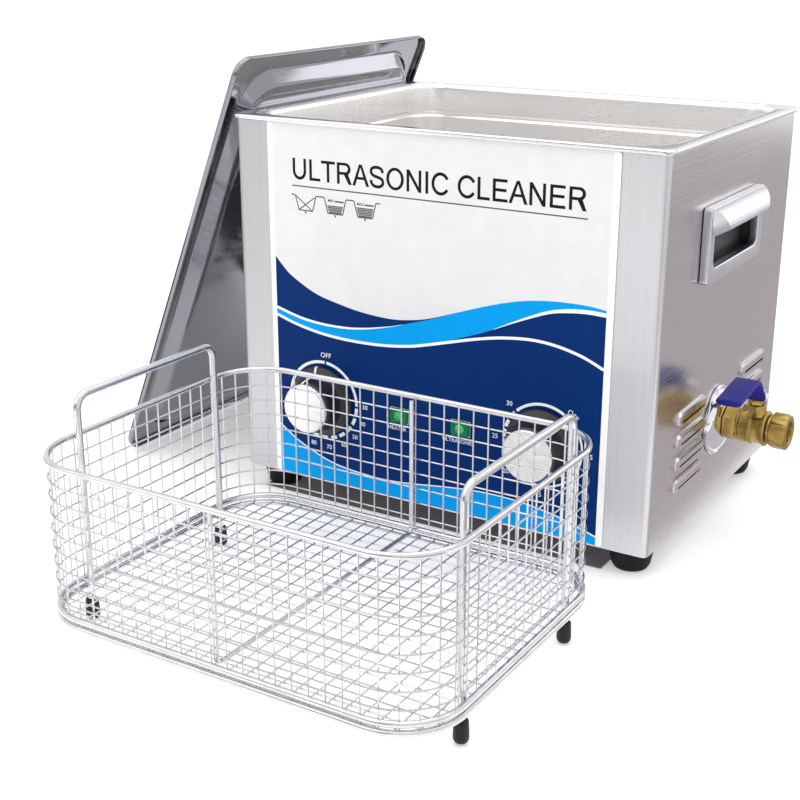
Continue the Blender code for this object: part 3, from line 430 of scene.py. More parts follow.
def band(path, widths):
    """Closed outline of a line along a path; widths runs from its start to its end."""
    sides = ([], [])
    for i, point in enumerate(path):
        here, along = Vector(point), heading_at(path, i)
        share = i / (len(path) - 1) * (len(widths) - 1)
        low = min(int(share), len(widths) - 2)
        width = widths[low] + (widths[low + 1] - widths[low]) * (share - low)
        for side, sign in zip(sides, (1, -1)):
            side.append(tuple(here + Vector((-along.y, along.x)) * sign * width / 2))
    return sides[0] + sides[1][::-1]


def evaluated(curve):
    holder = bpy.data.objects.new("holder", curve)
    bpy.context.scene.collection.objects.link(holder)
    mesh = bpy.data.meshes.new_from_object(holder.evaluated_get(bpy.context.evaluated_depsgraph_get()))
    bpy.data.objects.remove(holder)
    bpy.data.curves.remove(curve)
    return mesh


def plate(outlines, depth, place, edge=0.0, grow=0.0):
    """Flat outlines in millimetres; each is a list of loops, the first one its rim and the rest its
    holes. The slab reaches from the local plane to depth."""
    curve = bpy.data.curves.new("plate", "CURVE")
    curve.dimensions, curve.fill_mode, curve.extrude = "2D", "BOTH", (depth / 2 - edge) * MM
    curve.bevel_depth, curve.bevel_resolution = edge * MM, 2
    curve.offset = (grow - edge) * MM
    for loop in outlines:
        spline = curve.splines.new("POLY")
        spline.points.add(len(loop) - 1)
        for point, (x, y) in zip(spline.points, loop):
            point.co = (x * MM, y * MM, 0, 1)
        spline.use_cyclic_u = True
    mesh = evaluated(curve)
    mesh.transform(Matrix.Translation((0, 0, depth / 2 * MM)))
    return finished(mesh, place)


def strands(paths, radius, closed=False, sides=2, place=None):
    """Round wire along each path of points in millimetres."""
    curve = bpy.data.curves.new("strands", "CURVE")
    curve.dimensions, curve.bevel_depth, curve.bevel_resolution = "3D", radius * MM, sides
    curve.use_fill_caps = not closed
    for path in paths:
        spline = curve.splines.new("POLY")
        spline.points.add(len(path) - 1)
        for point, spot in zip(spline.points, path):
            point.co = (*(Vector(spot) * MM), 1)
        spline.use_cyclic_u = closed
    return finished(evaluated(curve), place, 60)


def joined(*meshes):
    work = bmesh.new()
    for mesh in meshes:
        work.from_mesh(mesh)
    made = bpy.data.meshes.new("joined")
    work.to_mesh(made)
    work.free()
    made.shade_smooth()
    made.set_sharp_from_angle(angle=math.radians(SHARP))
    return made


def piece(name, mesh, body, slot, look, *replaced):
    made = bpy.data.objects.new(name, mesh)
    bpy.context.scene.collection.objects.link(made)
    mesh.name = name
    mesh.materials.clear()
    mesh.materials.append(look)
    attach(made, body)
    if replaced:
        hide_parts(*replaced)
    return made


def thicken(made, thickness):
    shell = made.modifiers.new("sheet", "SOLIDIFY")
    shell.thickness, shell.offset, shell.use_even_offset = thickness * MM, -1, True


# ---------------------------------------------------------------- carried-over CAD nodes

CAD_LOOKS = {
    STEEL: ["housing"],
    PANEL_STEEL: ["rear_panel"],
    BASE_STEEL: ["base_plate"],
    FILM: ["front_label"],
    CHROME: ["lever_nut", "valve_ball"],
    BLACK_PLASTIC: ["handle_cup_right", "handle_cup_left", "fan_frame", "fan_rotor", "power_inlet",
                    "switch_frame", "power_rocker", "fuse_holder"],
    GREEN_LENS: ["heater_lamp", "ultrasonic_lamp"],
    ALUMINIUM: ["transducer_1", "transducer_2", "transducer_3", "transducer_4"],
    TUBE: ["drain_pipe"],
    DARK_STEEL: ["valve_stem", "thermostat", "timer_unit"],
    BOARD: ["generator_board"],
    SILICONE: ["heater_pad_front", "heater_pad_rear"],
}


def dress_cad():
    for look, names in CAD_LOOKS.items():
        for name in names:
            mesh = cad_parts[name].data
            mesh.materials.clear()
            mesh.materials.append(look)


# ---------------------------------------------------------------- printed front

# Edges of the printed areas, in millimetres from the case's centre line and bottom edge
NAVY_TOP = [(-132.2, 169.1), (-125.5, 162.2), (-117.5, 155.6), (-97.5, 145.4), (-76.7, 140.2), (-56.3, 136.8),
            (-32.4, 135.6), (-13.6, 137.8), (0.3, 141.2), (17.4, 147.1)]
CYAN_TOP_RIGHT = [(17.4, 147.1), (36.5, 153.7), (54.3, 159.3), (71, 163.3), (89.2, 165.6), (107.1, 166.3),
                  (120.4, 165.8), (128.8, 164.6)]
LINE_B = [(-132.2, 130.6), (-110.7, 125.3), (-90.7, 123.2), (-71, 123.4), (-56.4, 125.1), (-42, 128),
          (-27.7, 131.7), (0.3, 140.6), (17.4, 147.1)]
LINE_C = [(-132.2, 125.0), (-115.8, 120.2), (-95.7, 116.4), (-75.9, 114.7), (-56.4, 114.5), (-37.2, 115.5),
          (-18.3, 118), (-4.3, 121.2), (14.5, 126.2), (33.6, 131.2), (52.4, 135.1), (71, 137.2),
          (84.7, 137.2), (98.2, 135.5), (111.6, 132.3), (120.5, 129), (128.8, 125.3)]
CYAN_LOW_RIGHT = [(14.5, 127.0), (19.3, 129.2), (33.6, 134.3), (47.8, 140.2), (61.7, 146.8), (75.5, 152.9),
                  (89.2, 158.2), (102.7, 160.9), (116, 162), (128.8, 161.7)]
LOW_WAVE = [(-132.2, 39.3), (-114.4, 28), (-89.9, 18.2), (-71.8, 14.7), (-48, 12.9), (-30.4, 13.3),
            (-13.1, 15), (9.6, 18.0), (30.6, 20.2), (49.3, 21), (67.7, 20.5), (85.8, 18.5), (100.1, 15.9),
            (115.7, 11.6), (128.8, 7.5)]
PRINT_LEFT, PRINT_RIGHT, PRINT_LOW, PRINT_HIGH = -132.2, 128.8, 1.4, 265.0
LAYER = 0.045
OVERLAP = 0.02  # how far a layer of print reaches into what is under it
CONTROLS_Y = 65.0
DIALS = {"temperature": (-92.0, CONTROLS_Y), "timer": (87.0, CONTROLS_Y)}
POINTERS = {"temperature": 97.0, "timer": 49.5}
LAMPS_X = (-26.0, 24.0)


def on_label(layer):
    """Plane of a print layer, with X and Y measured from the case's centre and bottom edge."""
    return frontwards((MACHINE.x, LABEL_FACE + OVERLAP * MM - (layer - 1) * LAYER * MM, FOOT_H))


def inked(outlines, layer=2, grow=0.0):
    return plate(outlines, LAYER + OVERLAP, on_label(layer), 0, grow)


def printed(name, outlines, layer, look, grow=0.0):
    piece(name, inked(outlines, layer, grow), "machine", "label_film", look)


def holed(outline):
    """The outline with clearance for shafts and lamps, which lie in the navy area."""
    loops = [outline]
    for x, y in DIALS.values():
        loops.append([(px, py) for px, py in arc(x, y, 6.3, 0, 345, 23)])
    for x in LAMPS_X:
        loops.append(rounded_rect(15.2, 11.7, 0.6, 2, x, CONTROLS_Y))
    return loops


def sector(centre, inner, outer, start, end):
    """Part of a ring, with the angles in degrees."""
    steps = max(2, int(abs(end - start) / 4))
    return arc(*centre, outer, start, end, steps) + arc(*centre, inner, end, start, steps)


def letters(words, name, cap, centre, turn=0.0, weight=0.0):
    """Generic lettering laid on the label. cap is the height of a capital, in millimetres."""
    thin = 0.01
    curve = bpy.data.curves.new(name, "FONT")
    curve.body, curve.resolution_u, curve.extrude, curve.offset = words, 3, thin, weight
    mesh = evaluated(curve)
    xs, ys = [v.co.x for v in mesh.vertices], [v.co.y for v in mesh.vertices]
    size, half_depth = cap / (max(ys) - min(ys)) * MM, (LAYER + OVERLAP) / 2 * MM
    fit = Matrix.Diagonal((size, size, half_depth / thin, 1))
    start = Vector(((max(xs) + min(xs)) / 2 * size, (max(ys) + min(ys)) / 2 * size, 0))
    move = (Matrix.Translation(Vector((*centre, 0)) * MM) @ Matrix.Rotation(math.radians(turn), 4, "Z")
            @ Matrix.Translation(-start) @ fit)
    return finished(mesh, on_label(2) @ Matrix.Translation((0, 0, half_depth)) @ move)


def label_print():
    navy_top, cyan_top = smooth(NAVY_TOP), smooth(CYAN_TOP_RIGHT)
    line_b, line_c, cyan_low = smooth(LINE_B), smooth(LINE_C), smooth(CYAN_LOW_RIGHT)
    low_wave = smooth(LOW_WAVE)
    field = [(PRINT_LEFT, PRINT_HIGH), (PRINT_LEFT, NAVY_TOP[0][1])] + navy_top[1:] + cyan_top[1:]
    field += [(PRINT_RIGHT, PRINT_HIGH)]
    printed("print_pale_field", [field], 1, FIELD_INK)
    navy = navy_top + cyan_top[1:] + [(PRINT_RIGHT, PRINT_LOW), (PRINT_LEFT, PRINT_LOW)]
    printed("print_navy_field", holed(navy), 1, NAVY_INK)
    left_c = [p for p in line_c if p[0] <= 14.5]
    swoosh = line_b + cyan_top[1:] + cyan_low[::-1][:-1] + left_c[::-1]
    printed("print_cyan_swoosh", [swoosh], 2, CYAN_INK)
    wave = low_wave + [(PRINT_RIGHT, PRINT_LOW), (PRINT_LEFT, PRINT_LOW)]
    printed("print_cyan_wave", [wave], 2, CYAN_INK)
    tapering = [p for p in line_b if p[0] <= -20]
    rising = [p for p in cyan_low if p[0] >= 46]
    lines = [band(tapering, [1.9, 1.7, 1.2, 0.15]), band(line_c, [2.0, 2.0]),
             band(rising, [0.15, 1.6, 2.6, 2.8]), band(low_wave, [1.0, 0.8, 0.8, 1.0])]
    for number, outline in enumerate(lines, 1):
        printed(f"print_white_line_{number}", [outline], 3, WHITE_INK)


def dial_print():
    """Scales around the two knobs."""
    heater, timer, off = DIALS["temperature"], DIALS["timer"], POINTERS["timer"]
    scales = {"temperature": [sector(heater, 28.1, 30.3, 84, 0), sector(heater, 28.1, 30.3, 180, 87)]
              + [sector(heater, 27.9, 30.5, -3 - 16 * i, -14 - 16 * i) for i in range(7)],
              "timer": [sector(timer, 28.0, 30.0, 48, 133)]
              + [sector(timer, 27.7, 30.2, 137 + 15 * i, 148 + 15 * i) for i in range(6)]
              + [sector(timer, 28.6, 30.0, 229, 405)]}
    for name, rings in scales.items():
        for number, outline in enumerate(rings, 1):
            printed(f"{name}_scale_{number}", [outline], 2, WHITE_INK)
    words = [("OFF", (heater[0] + 2.8, heater[1] + 34.8), 3.7, 0)]
    words += [(str(30 + 10 * i), polar(heater, 36.5, angle), 3.4, 0)
              for i, angle in enumerate((1, -20, -41, -61, -83, -105))]
    words += [(str(30 - 5 * i), polar(timer, 36, angle), 3.4, 0)
              for i, angle in enumerate((135, 180, 222, 268, 314, 358))]
    words += [("OFF", polar(timer, 33.5, off), 3.6, off - 90)]
    words += [("HEATER", (-28, 55.2), 2.9, 0), ("ULTRASONIC", (22, 55.2), 2.9, 0)]
    meshes = [letters(text, "mark", cap, spot, turn) for text, spot, cap, turn in words]
    piece("scale_numbers", joined(*meshes), "machine", "label_film", WHITE_INK)


def oval(x, y, wide, tall, start, end, steps=20):
    return [(x + wide * px, y + tall * py) for px, py in arc(0, 0, 1, start, end, steps)]


# Plain grotesque capitals in thousandths of the type size: advance, then loops
CAPITALS = {
    "U": (722, [band([(126, 716), (126, 500)] + oval(361, 292, 235, 257, 180, 360) + [(596, 500), (596, 716)],
                     [95, 95])]),
    "L": (556, [[(73, 0), (73, 716), (168, 716), (168, 84), (521, 84), (521, 0)]]),
    "T": (611, [[(259, 0), (259, 631), (23, 631), (23, 716), (591, 716), (591, 631), (354, 631), (354, 0)]]),
    "R": (722, [[(79, 0), (79, 716), (430, 716)] + oval(430, 517, 204, 199, 86, -62)
                + [(676, 0), (557, 0), (372, 318), (174, 318), (174, 0)],
                [(174, 637), (410, 637)] + oval(410, 518.5, 126, 118.5, 86, -90) + [(174, 400)]]),
    "A": (667, [[(-2, 0), (274, 716), (376, 716), (669, 0), (561, 0), (477, 217), (178, 217), (99, 0)],
                [(205, 294), (448, 294), (325, 640)]]),
    "S": (667, [band(smooth([(90, 240), (115, 135), (200, 62), (335, 33), (465, 55), (553, 120), (570, 200),
                             (540, 280), (450, 332), (330, 364), (200, 400), (115, 460), (90, 535),
                             (118, 622), (205, 672), (325, 684), (450, 662), (530, 600), (557, 512)]),
                     [90, 90])]),
    "O": (778, [oval(390, 358, 342, 370, 0, 352, 44), oval(390, 358, 244, 287, 0, 352, 44)]),
    "N": (722, [[(76, 0), (76, 716), (173, 716), (549, 154), (549, 716), (640, 716), (640, 0), (543, 0),
                 (167, 562), (167, 0)]]),
    "I": (278, [[(93, 0), (93, 716), (188, 716), (188, 0)]]),
    "C": (722, [band(oval(394, 358, 296, 326, 31, 327, 40), [92, 92])]),
    "E": (667, [[(79, 0), (79, 716), (597, 716), (597, 632), (174, 632), (174, 412), (570, 412), (570, 328),
                 (174, 328), (174, 84), (613, 84), (613, 0)]]),
    " ": (278, []),
}


def heading_print():
    size, squeeze, pen, loops = 14.6 / 716, 0.98, -116.2, []
    for letter in "ULTRASONIC CLEANER":
        advance, shapes = CAPITALS[letter]
        loops += [[(pen + x * size * squeeze, 226.9 + y * size) for x, y in loop] for loop in shapes]
        pen += advance * size * squeeze
    printed("heading_letters", loops, 2, BLACK_INK, 0.14)
    rule = [(-115.7, 221.6), (112.9, 221.6), (112.9, 222.5), (-115.7, 222.5)]
    printed("heading_rule", [rule], 2, GREY_INK)
    top, low = 216, 205
    path = [(-116.4, 215.8), (-113, 215.4), (-110.1, low), (-98.3, low), (-95.2, top), (-88.2, top),
            (-85.2, low), (-72.7, low), (-69.9, top), (-63.3, top), (-60, low), (-48.1, low), (-45, top),
            (-41.5, top)]
    pen_widths = [0.85, 0.85]
    marks = [band([a, b], pen_widths) for a, b in zip(path, path[1:])]
    marks += [band([(x, 214.8), (end, 205.6)], [0.8, 0.8]) for x, end in ((-112.4, -99.2), (-96.4, -109.4))]
    for x, height in ((-79, 5.6), (-54.1, 7.0)):
        for row in range(int(height / 1.1)):
            level, half = low + 0.9 + row * 1.1, 5.3 + row * 0.33
            marks.append(band([(x - half, level), (x + half, level)], pen_widths))
    for x in (-104.4, -79, -54.1):
        marks.append([(x - 1.1, 204.2), (x + 1.1, 204.2), (x, 202.4)])
    meshes = [inked([mark]) for mark in marks]
    for words, x in (("MIN", -79), ("MAX", -54.1)):
        meshes.append(letters(words, "level_mark", 2.0, (x - 3.6, 214.2), weight=0.02))
        meshes.append(inked([band([(x - 0.2, 213.9), (x + 7.2, 213.9)], [1.1, 1.1])]))
    piece("basket_icons", joined(*meshes), "machine", "label_film", GREY_INK)


# ---------------------------------------------------------------- knobs

def knobs():
    """Skirted pointer knobs: moulded body whose fluted waist is turned smooth here, white pointer and turned metal
    cap.
    """
    skirt = [(0, 14), (3.4, 14), (3.4, 0), (25.2, 0), (25.8, 0.3), (26, 0.9), (26, 2.6), (25.7, 3.4), (25, 3.9),
             (22.6, 4.9), (21.2, 6.2), (20.4, 8), (19.3, 19.2), (19.0, 20.3), (18.2, 20.9), (0, 20.9)]
    cap = [(0, 21), (18.0, 21), (18.25, 21.3), (18.25, 22.6), (17.9, 23.4), (17.1, 23.9), (16.2, 24),
           (15.8, 23.85), (15.4, 23.85), (0, 23.85)]
    for name, turn in POINTERS.items():
        knob = name + "_knob"
        low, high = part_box(knob)
        spot = Vector(((low.x + high.x) / 2, high.y, (low.z + high.z) / 2))
        place, body = frontwards(spot), name + "_dial"
        piece(knob + "_body", lathe(skirt, place, 96), body, "knob_plastic", KNOB_PLASTIC, knob)
        look = turned_metal(name + "_cap_metal", (0.90, 0.89, 0.87), 0.34, spot)
        piece(knob + "_disc", lathe(cap, place, 96), body, "spun_aluminium", look, knob + "_cap")
        path = [(18.35, 23.3), (19.5, 20.6), (20.75, 8), (21.6, 6.1), (23, 5.0), (25.3, 4.0), (26.15, 3.0),
                (26.15, 1.2)]
        work = bmesh.new()
        rows = []
        for r, z in path:
            for out in (0.0, 0.22):
                rows.append([work.verts.new(((r + out - 0.1) * MM, side * 0.9 * MM, (z + out * 0.6) * MM))
                             for side in (-1, 1)])
        inner, outer = rows[0::2], rows[1::2]
        for a, b, c, d in zip(inner, inner[1:], outer, outer[1:]):
            work.faces.new((a[0], a[1], b[1], b[0]))
            work.faces.new((c[0], d[0], d[1], c[1]))
            for side in (0, 1):
                work.faces.new((a[side], b[side], d[side], c[side]))
        for a, c in ((inner[0], outer[0]), (inner[-1], outer[-1])):
            work.faces.new((a[0], a[1], c[1], c[0]))
        mesh = bpy.data.meshes.new("pointer")
        work.to_mesh(mesh)
        work.free()
        place = place @ Matrix.Rotation(math.radians(turn), 4, "Z")
        piece(knob + "_pointer", finished(mesh, place), body, "knob_plastic", POINTER_WHITE)


# ---------------------------------------------------------------- carry handles

def carry_handles():
    """Die-cast chromed frame whose upper part swells into a hood with slanted cheeks."""
    outer = smooth([(25, 5.6), (23.9, 8.2), (21.3, 10.8), (17.7, 12.9), (13.8, 14.1), (10.9, 14.4)], 4)
    under = [(10.4, 13.9), (10.4, 13.2), (10.7, 12.6)]
    under += smooth([(12.6, 12.0), (15.6, 11.0), (18.4, 9.4), (20.4, 5.4)], 3)
    fall = [i / (len(outer) - 1) for i in range(len(outer))]
    back = [i / (len(under) - 1) for i in range(len(under))]
    foot_row = [(-53.4 + 2.2 * t, 25 - 18.5 * t, 6.1) for t in fall]
    foot_row += [(-50 + 2 * t, 6.5 + 14.5 * t, 5.2) for t in back]
    ridge = [(-53.0 + 13.5 * t, v, w) for t, (v, w) in zip(fall, outer)]
    ridge += [(-39.2 - 4 * t, v, w) for t, (v, w) in zip(back, under)]
    half_hood = [foot_row, ridge, [(u + 0.7, v, w) for u, v, w in ridge]]
    hood_rows = half_hood + [[(-u, v, w) for u, v, w in row] for row in half_hood[::-1]]
    for side_name, side in (("right", 1), ("left", -1)):
        node = f"carry_handle_{side_name}"
        low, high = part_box(node)
        face = low.x if side > 0 else high.x
        origin = (face, (low.y + high.y) / 2, (low.z + high.z) / 2)
        place = axes((0, side, 0), (0, 0, 1), (side, 0, 0), origin)
        frame_loops = [rounded_rect(109, 51, 3, 5), rounded_rect(91, 31, 6, 8)]
        bezel = plate(frame_loops, 6, place, 0.9)
        hood = skin(tipped([[Vector(p) * MM for p in row] for row in hood_rows]), place, sharp=30)
        piece(f"carry_handle_trim_{side_name}", joined(bezel, hood), "machine", "chrome_trim", SATIN_CHROME, node)


# ---------------------------------------------------------------- drain valve

def sweep(path, widths, thickness, place):
    """Rounded bar along a path in the local YZ plane, as wide along X as widths says."""
    rings = []
    for i, (y, z) in enumerate(path):
        along = heading_at(path, i)
        up = Vector((-along.y, along.x))
        if up.y < 0:
            up = -up
        ring = rounded_rect(widths[i], thickness[i], min(widths[i], thickness[i]) * 0.45, 5)
        rings.append([Vector((a, y + up.x * b, z + up.y * b)) * MM for a, b in ring])
    return skin(tipped(rings), place, sharp=50)


def hexagon(across_flats, turn):
    return arc(0, 0, across_flats / 2 / math.cos(math.pi / 6), turn, turn + 300, 5)


def hole_loop(radius, steps=32):
    return arc(0, 0, radius, 0, 360 - 360 / steps, steps - 1)


def drain_valve():
    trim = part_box("escutcheon")
    centre = middle("escutcheon")
    face = [(8.6, 6.9), (8.6, 0), (25.3, 0), (25.5, 0.3), (25.5, 1.7), (25.1, 2.2), (24.2, 2.3), (23.8, 1.9),
            (23.4, 1.9), (22.9, 2.9), (21.4, 4.5), (19.2, 5.7), (17, 6.6), (14.6, 7.3), (12.5, 7.6), (9.2, 7.6)]
    at = rightwards((trim[0].x, centre.y, centre.z))
    piece("escutcheon_dome", lathe(face, at, 96, closed=True), "machine", "chrome_trim", CHROME, "escutcheon")

    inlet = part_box("valve_body")[0].x
    at = rightwards((inlet, centre.y, centre.z))
    barrel = [(6, 0), (9.8, 0), (10.3, 0.6), (10.6, 9), (10.6, 10.6), (11.4, 11.2), (12.0, 11.9), (12.1, 17.2),
              (12.5, 18.2), (12.7, 19), (12.5, 19.8), (11.7, 20.6), (11.45, 24), (11.7, 27.3), (12.5, 28.2),
              (12.75, 29), (12.4, 29.9), (11.4, 30.6), (9.6, 31.2), (9.4, 32.7), (6, 32.7)]
    hex_loops = [hexagon(22, 30), hole_loop(9)]
    nut_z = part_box("gland_nut")
    stem = middle("gland_nut")
    boss = [(2.9, nut_z[0].z / MM - centre.z / MM - 0.3), (2.9, 9.5), (9.2, 9.5), (8.0, 11), (6.9, 12.4),
            (6.4, 13.6), (6.3, 16.2), (5.9, 16.7)]
    boss_at = upwards((stem.x, stem.y, centre.z))
    lug = sweep([(0, 9), (0.6, 12), (0.8, 14.2), (0.8, 15.2)], [5, 4.6, 4, 3], [5, 5, 4.6, 3.4],
                upwards((stem.x - 7.6 * MM, stem.y - 0.5 * MM, centre.z)))
    parts = [lathe(barrel, at, 72, closed=True), plate(hex_loops, 9.2, at, 0.5),
             lathe(boss, boss_at, 48, closed=True), lug]
    piece("valve_casting", joined(*parts), "machine", "forged_brass", BRASS, "valve_body")
    nut = plate([hexagon(11, 15), hole_loop(2.9)], 3.4, upwards((stem.x, stem.y, nut_z[0].z)), 0.35)
    piece("gland_hex", nut, "machine", "forged_brass", BRASS, "gland_nut")

    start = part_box("outlet_nut")[0].x
    at = rightwards((start, centre.y, centre.z))
    rings = []
    for height, limit in ((0, 11.2), (0.7, 12.2), (1.6, 13.4), (11.0, 13.4), (12.0, 12.0), (12.6, 10.6)):
        ring = []
        for i in range(72):
            a = math.tau * i / 72
            reach = min(12 / math.cos((a + math.pi / 6) % (math.pi / 3) - math.pi / 6), limit) * MM
            ring.append((reach * math.cos(a), reach * math.sin(a), height * MM))
        rings.append(ring)
    for radius, height in ((10.0, 12.6), (8.3, 12.6), (7.9, 12.2), (7.6, 11.4), (7.5, 3), (6.6, 2.4), (6.6, 0)):
        rings.append(circle(radius * MM, height * MM, 72))
    piece("outlet_hex", skin(rings, at, closed=True, sharp=28), "machine", "forged_brass", BRASS, "outlet_nut")


def lever():
    """Steel strap over the stem, dipped in blue vinyl from the bend to its rounded end."""
    nut = middle("lever_nut")
    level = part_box("lever_nut")[0].z - 0.3 * MM - 1.1 * MM
    place = upwards((nut.x, nut.y, level))
    strap = [(8.6, 0), (8.2, 0), (7, 0), (0, 0), (-4.6, 0), (-6.4, 0.5), (-8, 1.8)]
    bare = sweep(strap, [4, 9, 13, 15, 15, 15, 15], [1.6, 2.1, 2.2, 2.2, 2.2, 2.2, 2.2], place)
    piece("lever_strap", bare, "valve_handle", "chrome_trim", CHROME)
    line = smooth([(-6.2, 0.7), (-8, 2), (-15, 9), (-22.6, 16.8), (-24.6, 18.3), (-26.8, 18.9), (-29.5, 18.8),
                   (-45, 17.1), (-60, 15.3), (-65, 14.7)], 4)
    line += [(-66.6, 14.5), (-67.6, 14.4), (-68.2, 14.3)]
    count = len(line)
    widths = [14 + 3.6 * min(1, i / 6) for i in range(count - 3)] + [15.6, 12.2, 8.2]
    thick = [2.4 + 1.0 * min(1, i / 4) for i in range(count - 3)] + [3.2, 2.8, 2.0]
    sleeve = sweep(line, widths, thick, place)
    piece("lever_sleeve", sleeve, "valve_handle", "blue_grip", BLUE_VINYL, "valve_lever")


def lamp_domes():
    for name in ("heater_lamp", "ultrasonic_lamp"):
        low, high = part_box(name)
        at = frontwards(((low.x + high.x) / 2, low.y + 0.02 * MM, (low.z + high.z) / 2))
        dome = [(0, 0.95), (1.2, 0.88), (2.2, 0.68), (3.0, 0.36), (3.5, 0), (3.5, -0.3), (0, -0.3)]
        piece(name + "_dome", lathe(dome, at, 40), "machine", "green_lens", GREEN_GLOW)
        rim = plate([rounded_rect(13.6, 10.1, 0.7, 3), rounded_rect(11.6, 8.1, 0.5, 3)], 0.35, at, 0.1)
        piece(name + "_rim", rim, "machine", "green_lens", GREEN_LENS)


# ---------------------------------------------------------------- tank and lid

def tank():
    """Pressed tank: rolled rim, filleted mouth, bead at the fill line and a bowl-shaped floor edge."""
    rim_w, rim_d, mouth_w, mouth_d, mouth_r = 336, 258, 310, 232, 26
    sections = [(rim_w, rim_d, 8, -3.4), (rim_w, rim_d, 8, -2.5), (rim_w - 0.9, rim_d - 0.9, 7.6, -2.2),
                (rim_w - 0.9, rim_d - 0.9, 7.6, -1.9), (rim_w, rim_d, 8, -1.6)]
    for inset, height in arc(1.3, -1.3, 1.3, 180, 90, 5):
        sections.append((rim_w - 2 * inset, rim_d - 2 * inset, 8 - inset * 0.5, height))
    sections += [(rim_w - less, rim_d - less, corner, height)
                 for less, corner, height in ((6, 7.5, 0), (7.4, 8, -0.35), (9, 9, -0.4))]
    rolled, sections = sections, []
    for inset, height in arc(-3.4, -4, 3.6, 90, 0, 6):
        sections.append((mouth_w - 2 * inset + 0.4, mouth_d - 2 * inset + 0.4, mouth_r - inset, height))
    rolled.append(sections[0])
    sections.append((mouth_w, mouth_d, mouth_r, -21.5))
    for i in range(9):
        swell = 1.3 * math.sin(math.pi * i / 8) ** 0.8
        sections.append((mouth_w + 2 * swell, mouth_d + 2 * swell, mouth_r + swell, -22 - 5 * i / 8))
    sections.append((mouth_w, mouth_d, mouth_r, -28))
    sections.append((mouth_w - 1, mouth_d - 1, mouth_r, -134))
    for inset, height in arc(15.5, -134, 15, 180, 270, 8)[1:]:
        sections.append((mouth_w - 2 * inset, mouth_d - 2 * inset, max(mouth_r - inset * 0.7, 8), height - 1))
    rings = rect_rings(sections)
    spot = (128, -4)
    hole = [(spot[0] * MM + x, spot[1] * MM + y, -150 * MM) for x, y, _ in circle(6.5 * MM, steps=32)]
    place = upwards(MACHINE + Vector((0, 0, RIM_TOP)))
    thicken(piece("tank_vessel", skin(rings, place, hole=hole), "machine", "tank_steel", TANK_STEEL_PAINTED_LIGHT, "tank"), 0.9)
    thicken(piece("tank_rim", skin(rect_rings(rolled), place), "machine", "tank_steel", RIM_STEEL), 0.9)
    strainer = [(6.4, -3), (6.4, 0.1), (6.9, 0.7), (9.5, 0.9), (10.5, 0.5), (10.8, 0.05), (5.6, 0.05), (5.6, -3)]
    at = upwards(MACHINE + Vector((spot[0] * MM, spot[1] * MM, RIM_TOP - 149.95 * MM)))
    ring = lathe(strainer, at, 48, closed=True)
    bars = [strands([[(x, -math.sqrt(36 - x * x), -1.2), (x, math.sqrt(36 - x * x), -1.2)]], 0.45, place=at)
            for x in (-4, -2, 0, 2, 4)]
    piece("drain_strainer", joined(ring, *bars), "machine", "tank_steel", CHROME)


def lid():
    """Pressed lid: rolled lip, mirror flange and a raised centre panel with soft shoulders."""
    length, width, radius = 350, 262, 14
    sections = [(length, width, radius, 5), (length, width, radius, 3)]
    for inset, height in arc(1.7, 1.7, 1.7, 180, 270, 5):
        sections.append((length - 2 * inset, width - 2 * inset, radius - inset * 0.6, height))
    for less, corner, height in ((20, 28, 0), (24.5, 31, 0.05), (28, 31.5, 0.5), (31, 30.5, 1.6),
                                 (43, 25.5, 8.4), (45.5, 24.5, 9.5), (49, 23, 9.95), (56, 20, 10)):
        sections.append((length - less, width - less, corner, height))
    rings = rect_rings(sections, 14)
    rings.append([Vector(p) * 0.5 + Vector((0, 0, 5 * MM)) for p in rings[-1]])
    rings.append([(0, 0, 10 * MM)])
    thicken(piece("lid_sheet", skin(rings, LID, sharp=50), "lid_group", "lid_steel", LID_STEEL_PAINTED_DARK, "lid"), 1)


def lid_bar():
    """Bent round bar on two riveted foot plates, across the lid's outer side."""
    half, out, bend, base = 45, -28, 8, 8.7
    path = [(-half, base - 1.8)] + arc(bend - half, out + bend, bend, 180, 270, 8)
    path += arc(half - bend, out + bend, bend, 270, 360, 8) + [(half, base - 1.8)]
    parts = [strands([[(0, y, z) for y, z in path]], 3.0, False, 4, LID)]
    for end in (-half, half):
        foot, *rivets = (LID @ Matrix.Translation(Vector((x, end, base - 2)) * MM) for x in (0, -6, 6))
        parts.append(plate([rounded_rect(18, 16, 5, 6)], 2, foot, 0.5))
        for at in rivets:
            parts.append(lathe([(0, -0.9), (0.9, -0.75), (1.5, -0.35), (1.7, 0.1), (0, 0.1)], at, 20))
    piece("lid_bar", joined(*parts), "lid_group", "chrome_trim", SATIN_CHROME, "lid_handle")


# ---------------------------------------------------------------- basket

RIM_Z, RINGS_Z, FLOOR_Z = 122.0, (21.5, 27.0), 22.0
SPAN_X, SPAN_Y, CORNER = 276.0, 216.0, 38.0
MESH_R, GRID = 0.55, 11.0


def outline_at(offset, steps=14):
    return rounded_rect(SPAN_X + 2 * offset, SPAN_Y + 2 * offset, CORNER + offset, steps)


def along_outline(offset, count):
    """Points spaced evenly round the basket."""
    loop = [Vector(p) for p in outline_at(offset, 24)]
    loop.append(loop[0])
    lengths = [(b - a).length for a, b in zip(loop, loop[1:])]
    total, spots = sum(lengths), []
    for i in range(count):
        wanted, index = total * (i + 0.5) / count, 0
        while wanted > lengths[index]:
            wanted -= lengths[index]
            index += 1
        spots.append(loop[index].lerp(loop[index + 1], wanted / lengths[index]))
    return spots


def half_span(value, half, other_half):
    """Half length of a floor wire that lies this far from the middle."""
    into = abs(value) - (half - CORNER)
    return other_half if into <= 0 else other_half - CORNER + math.sqrt(max(CORNER ** 2 - into ** 2, 0))


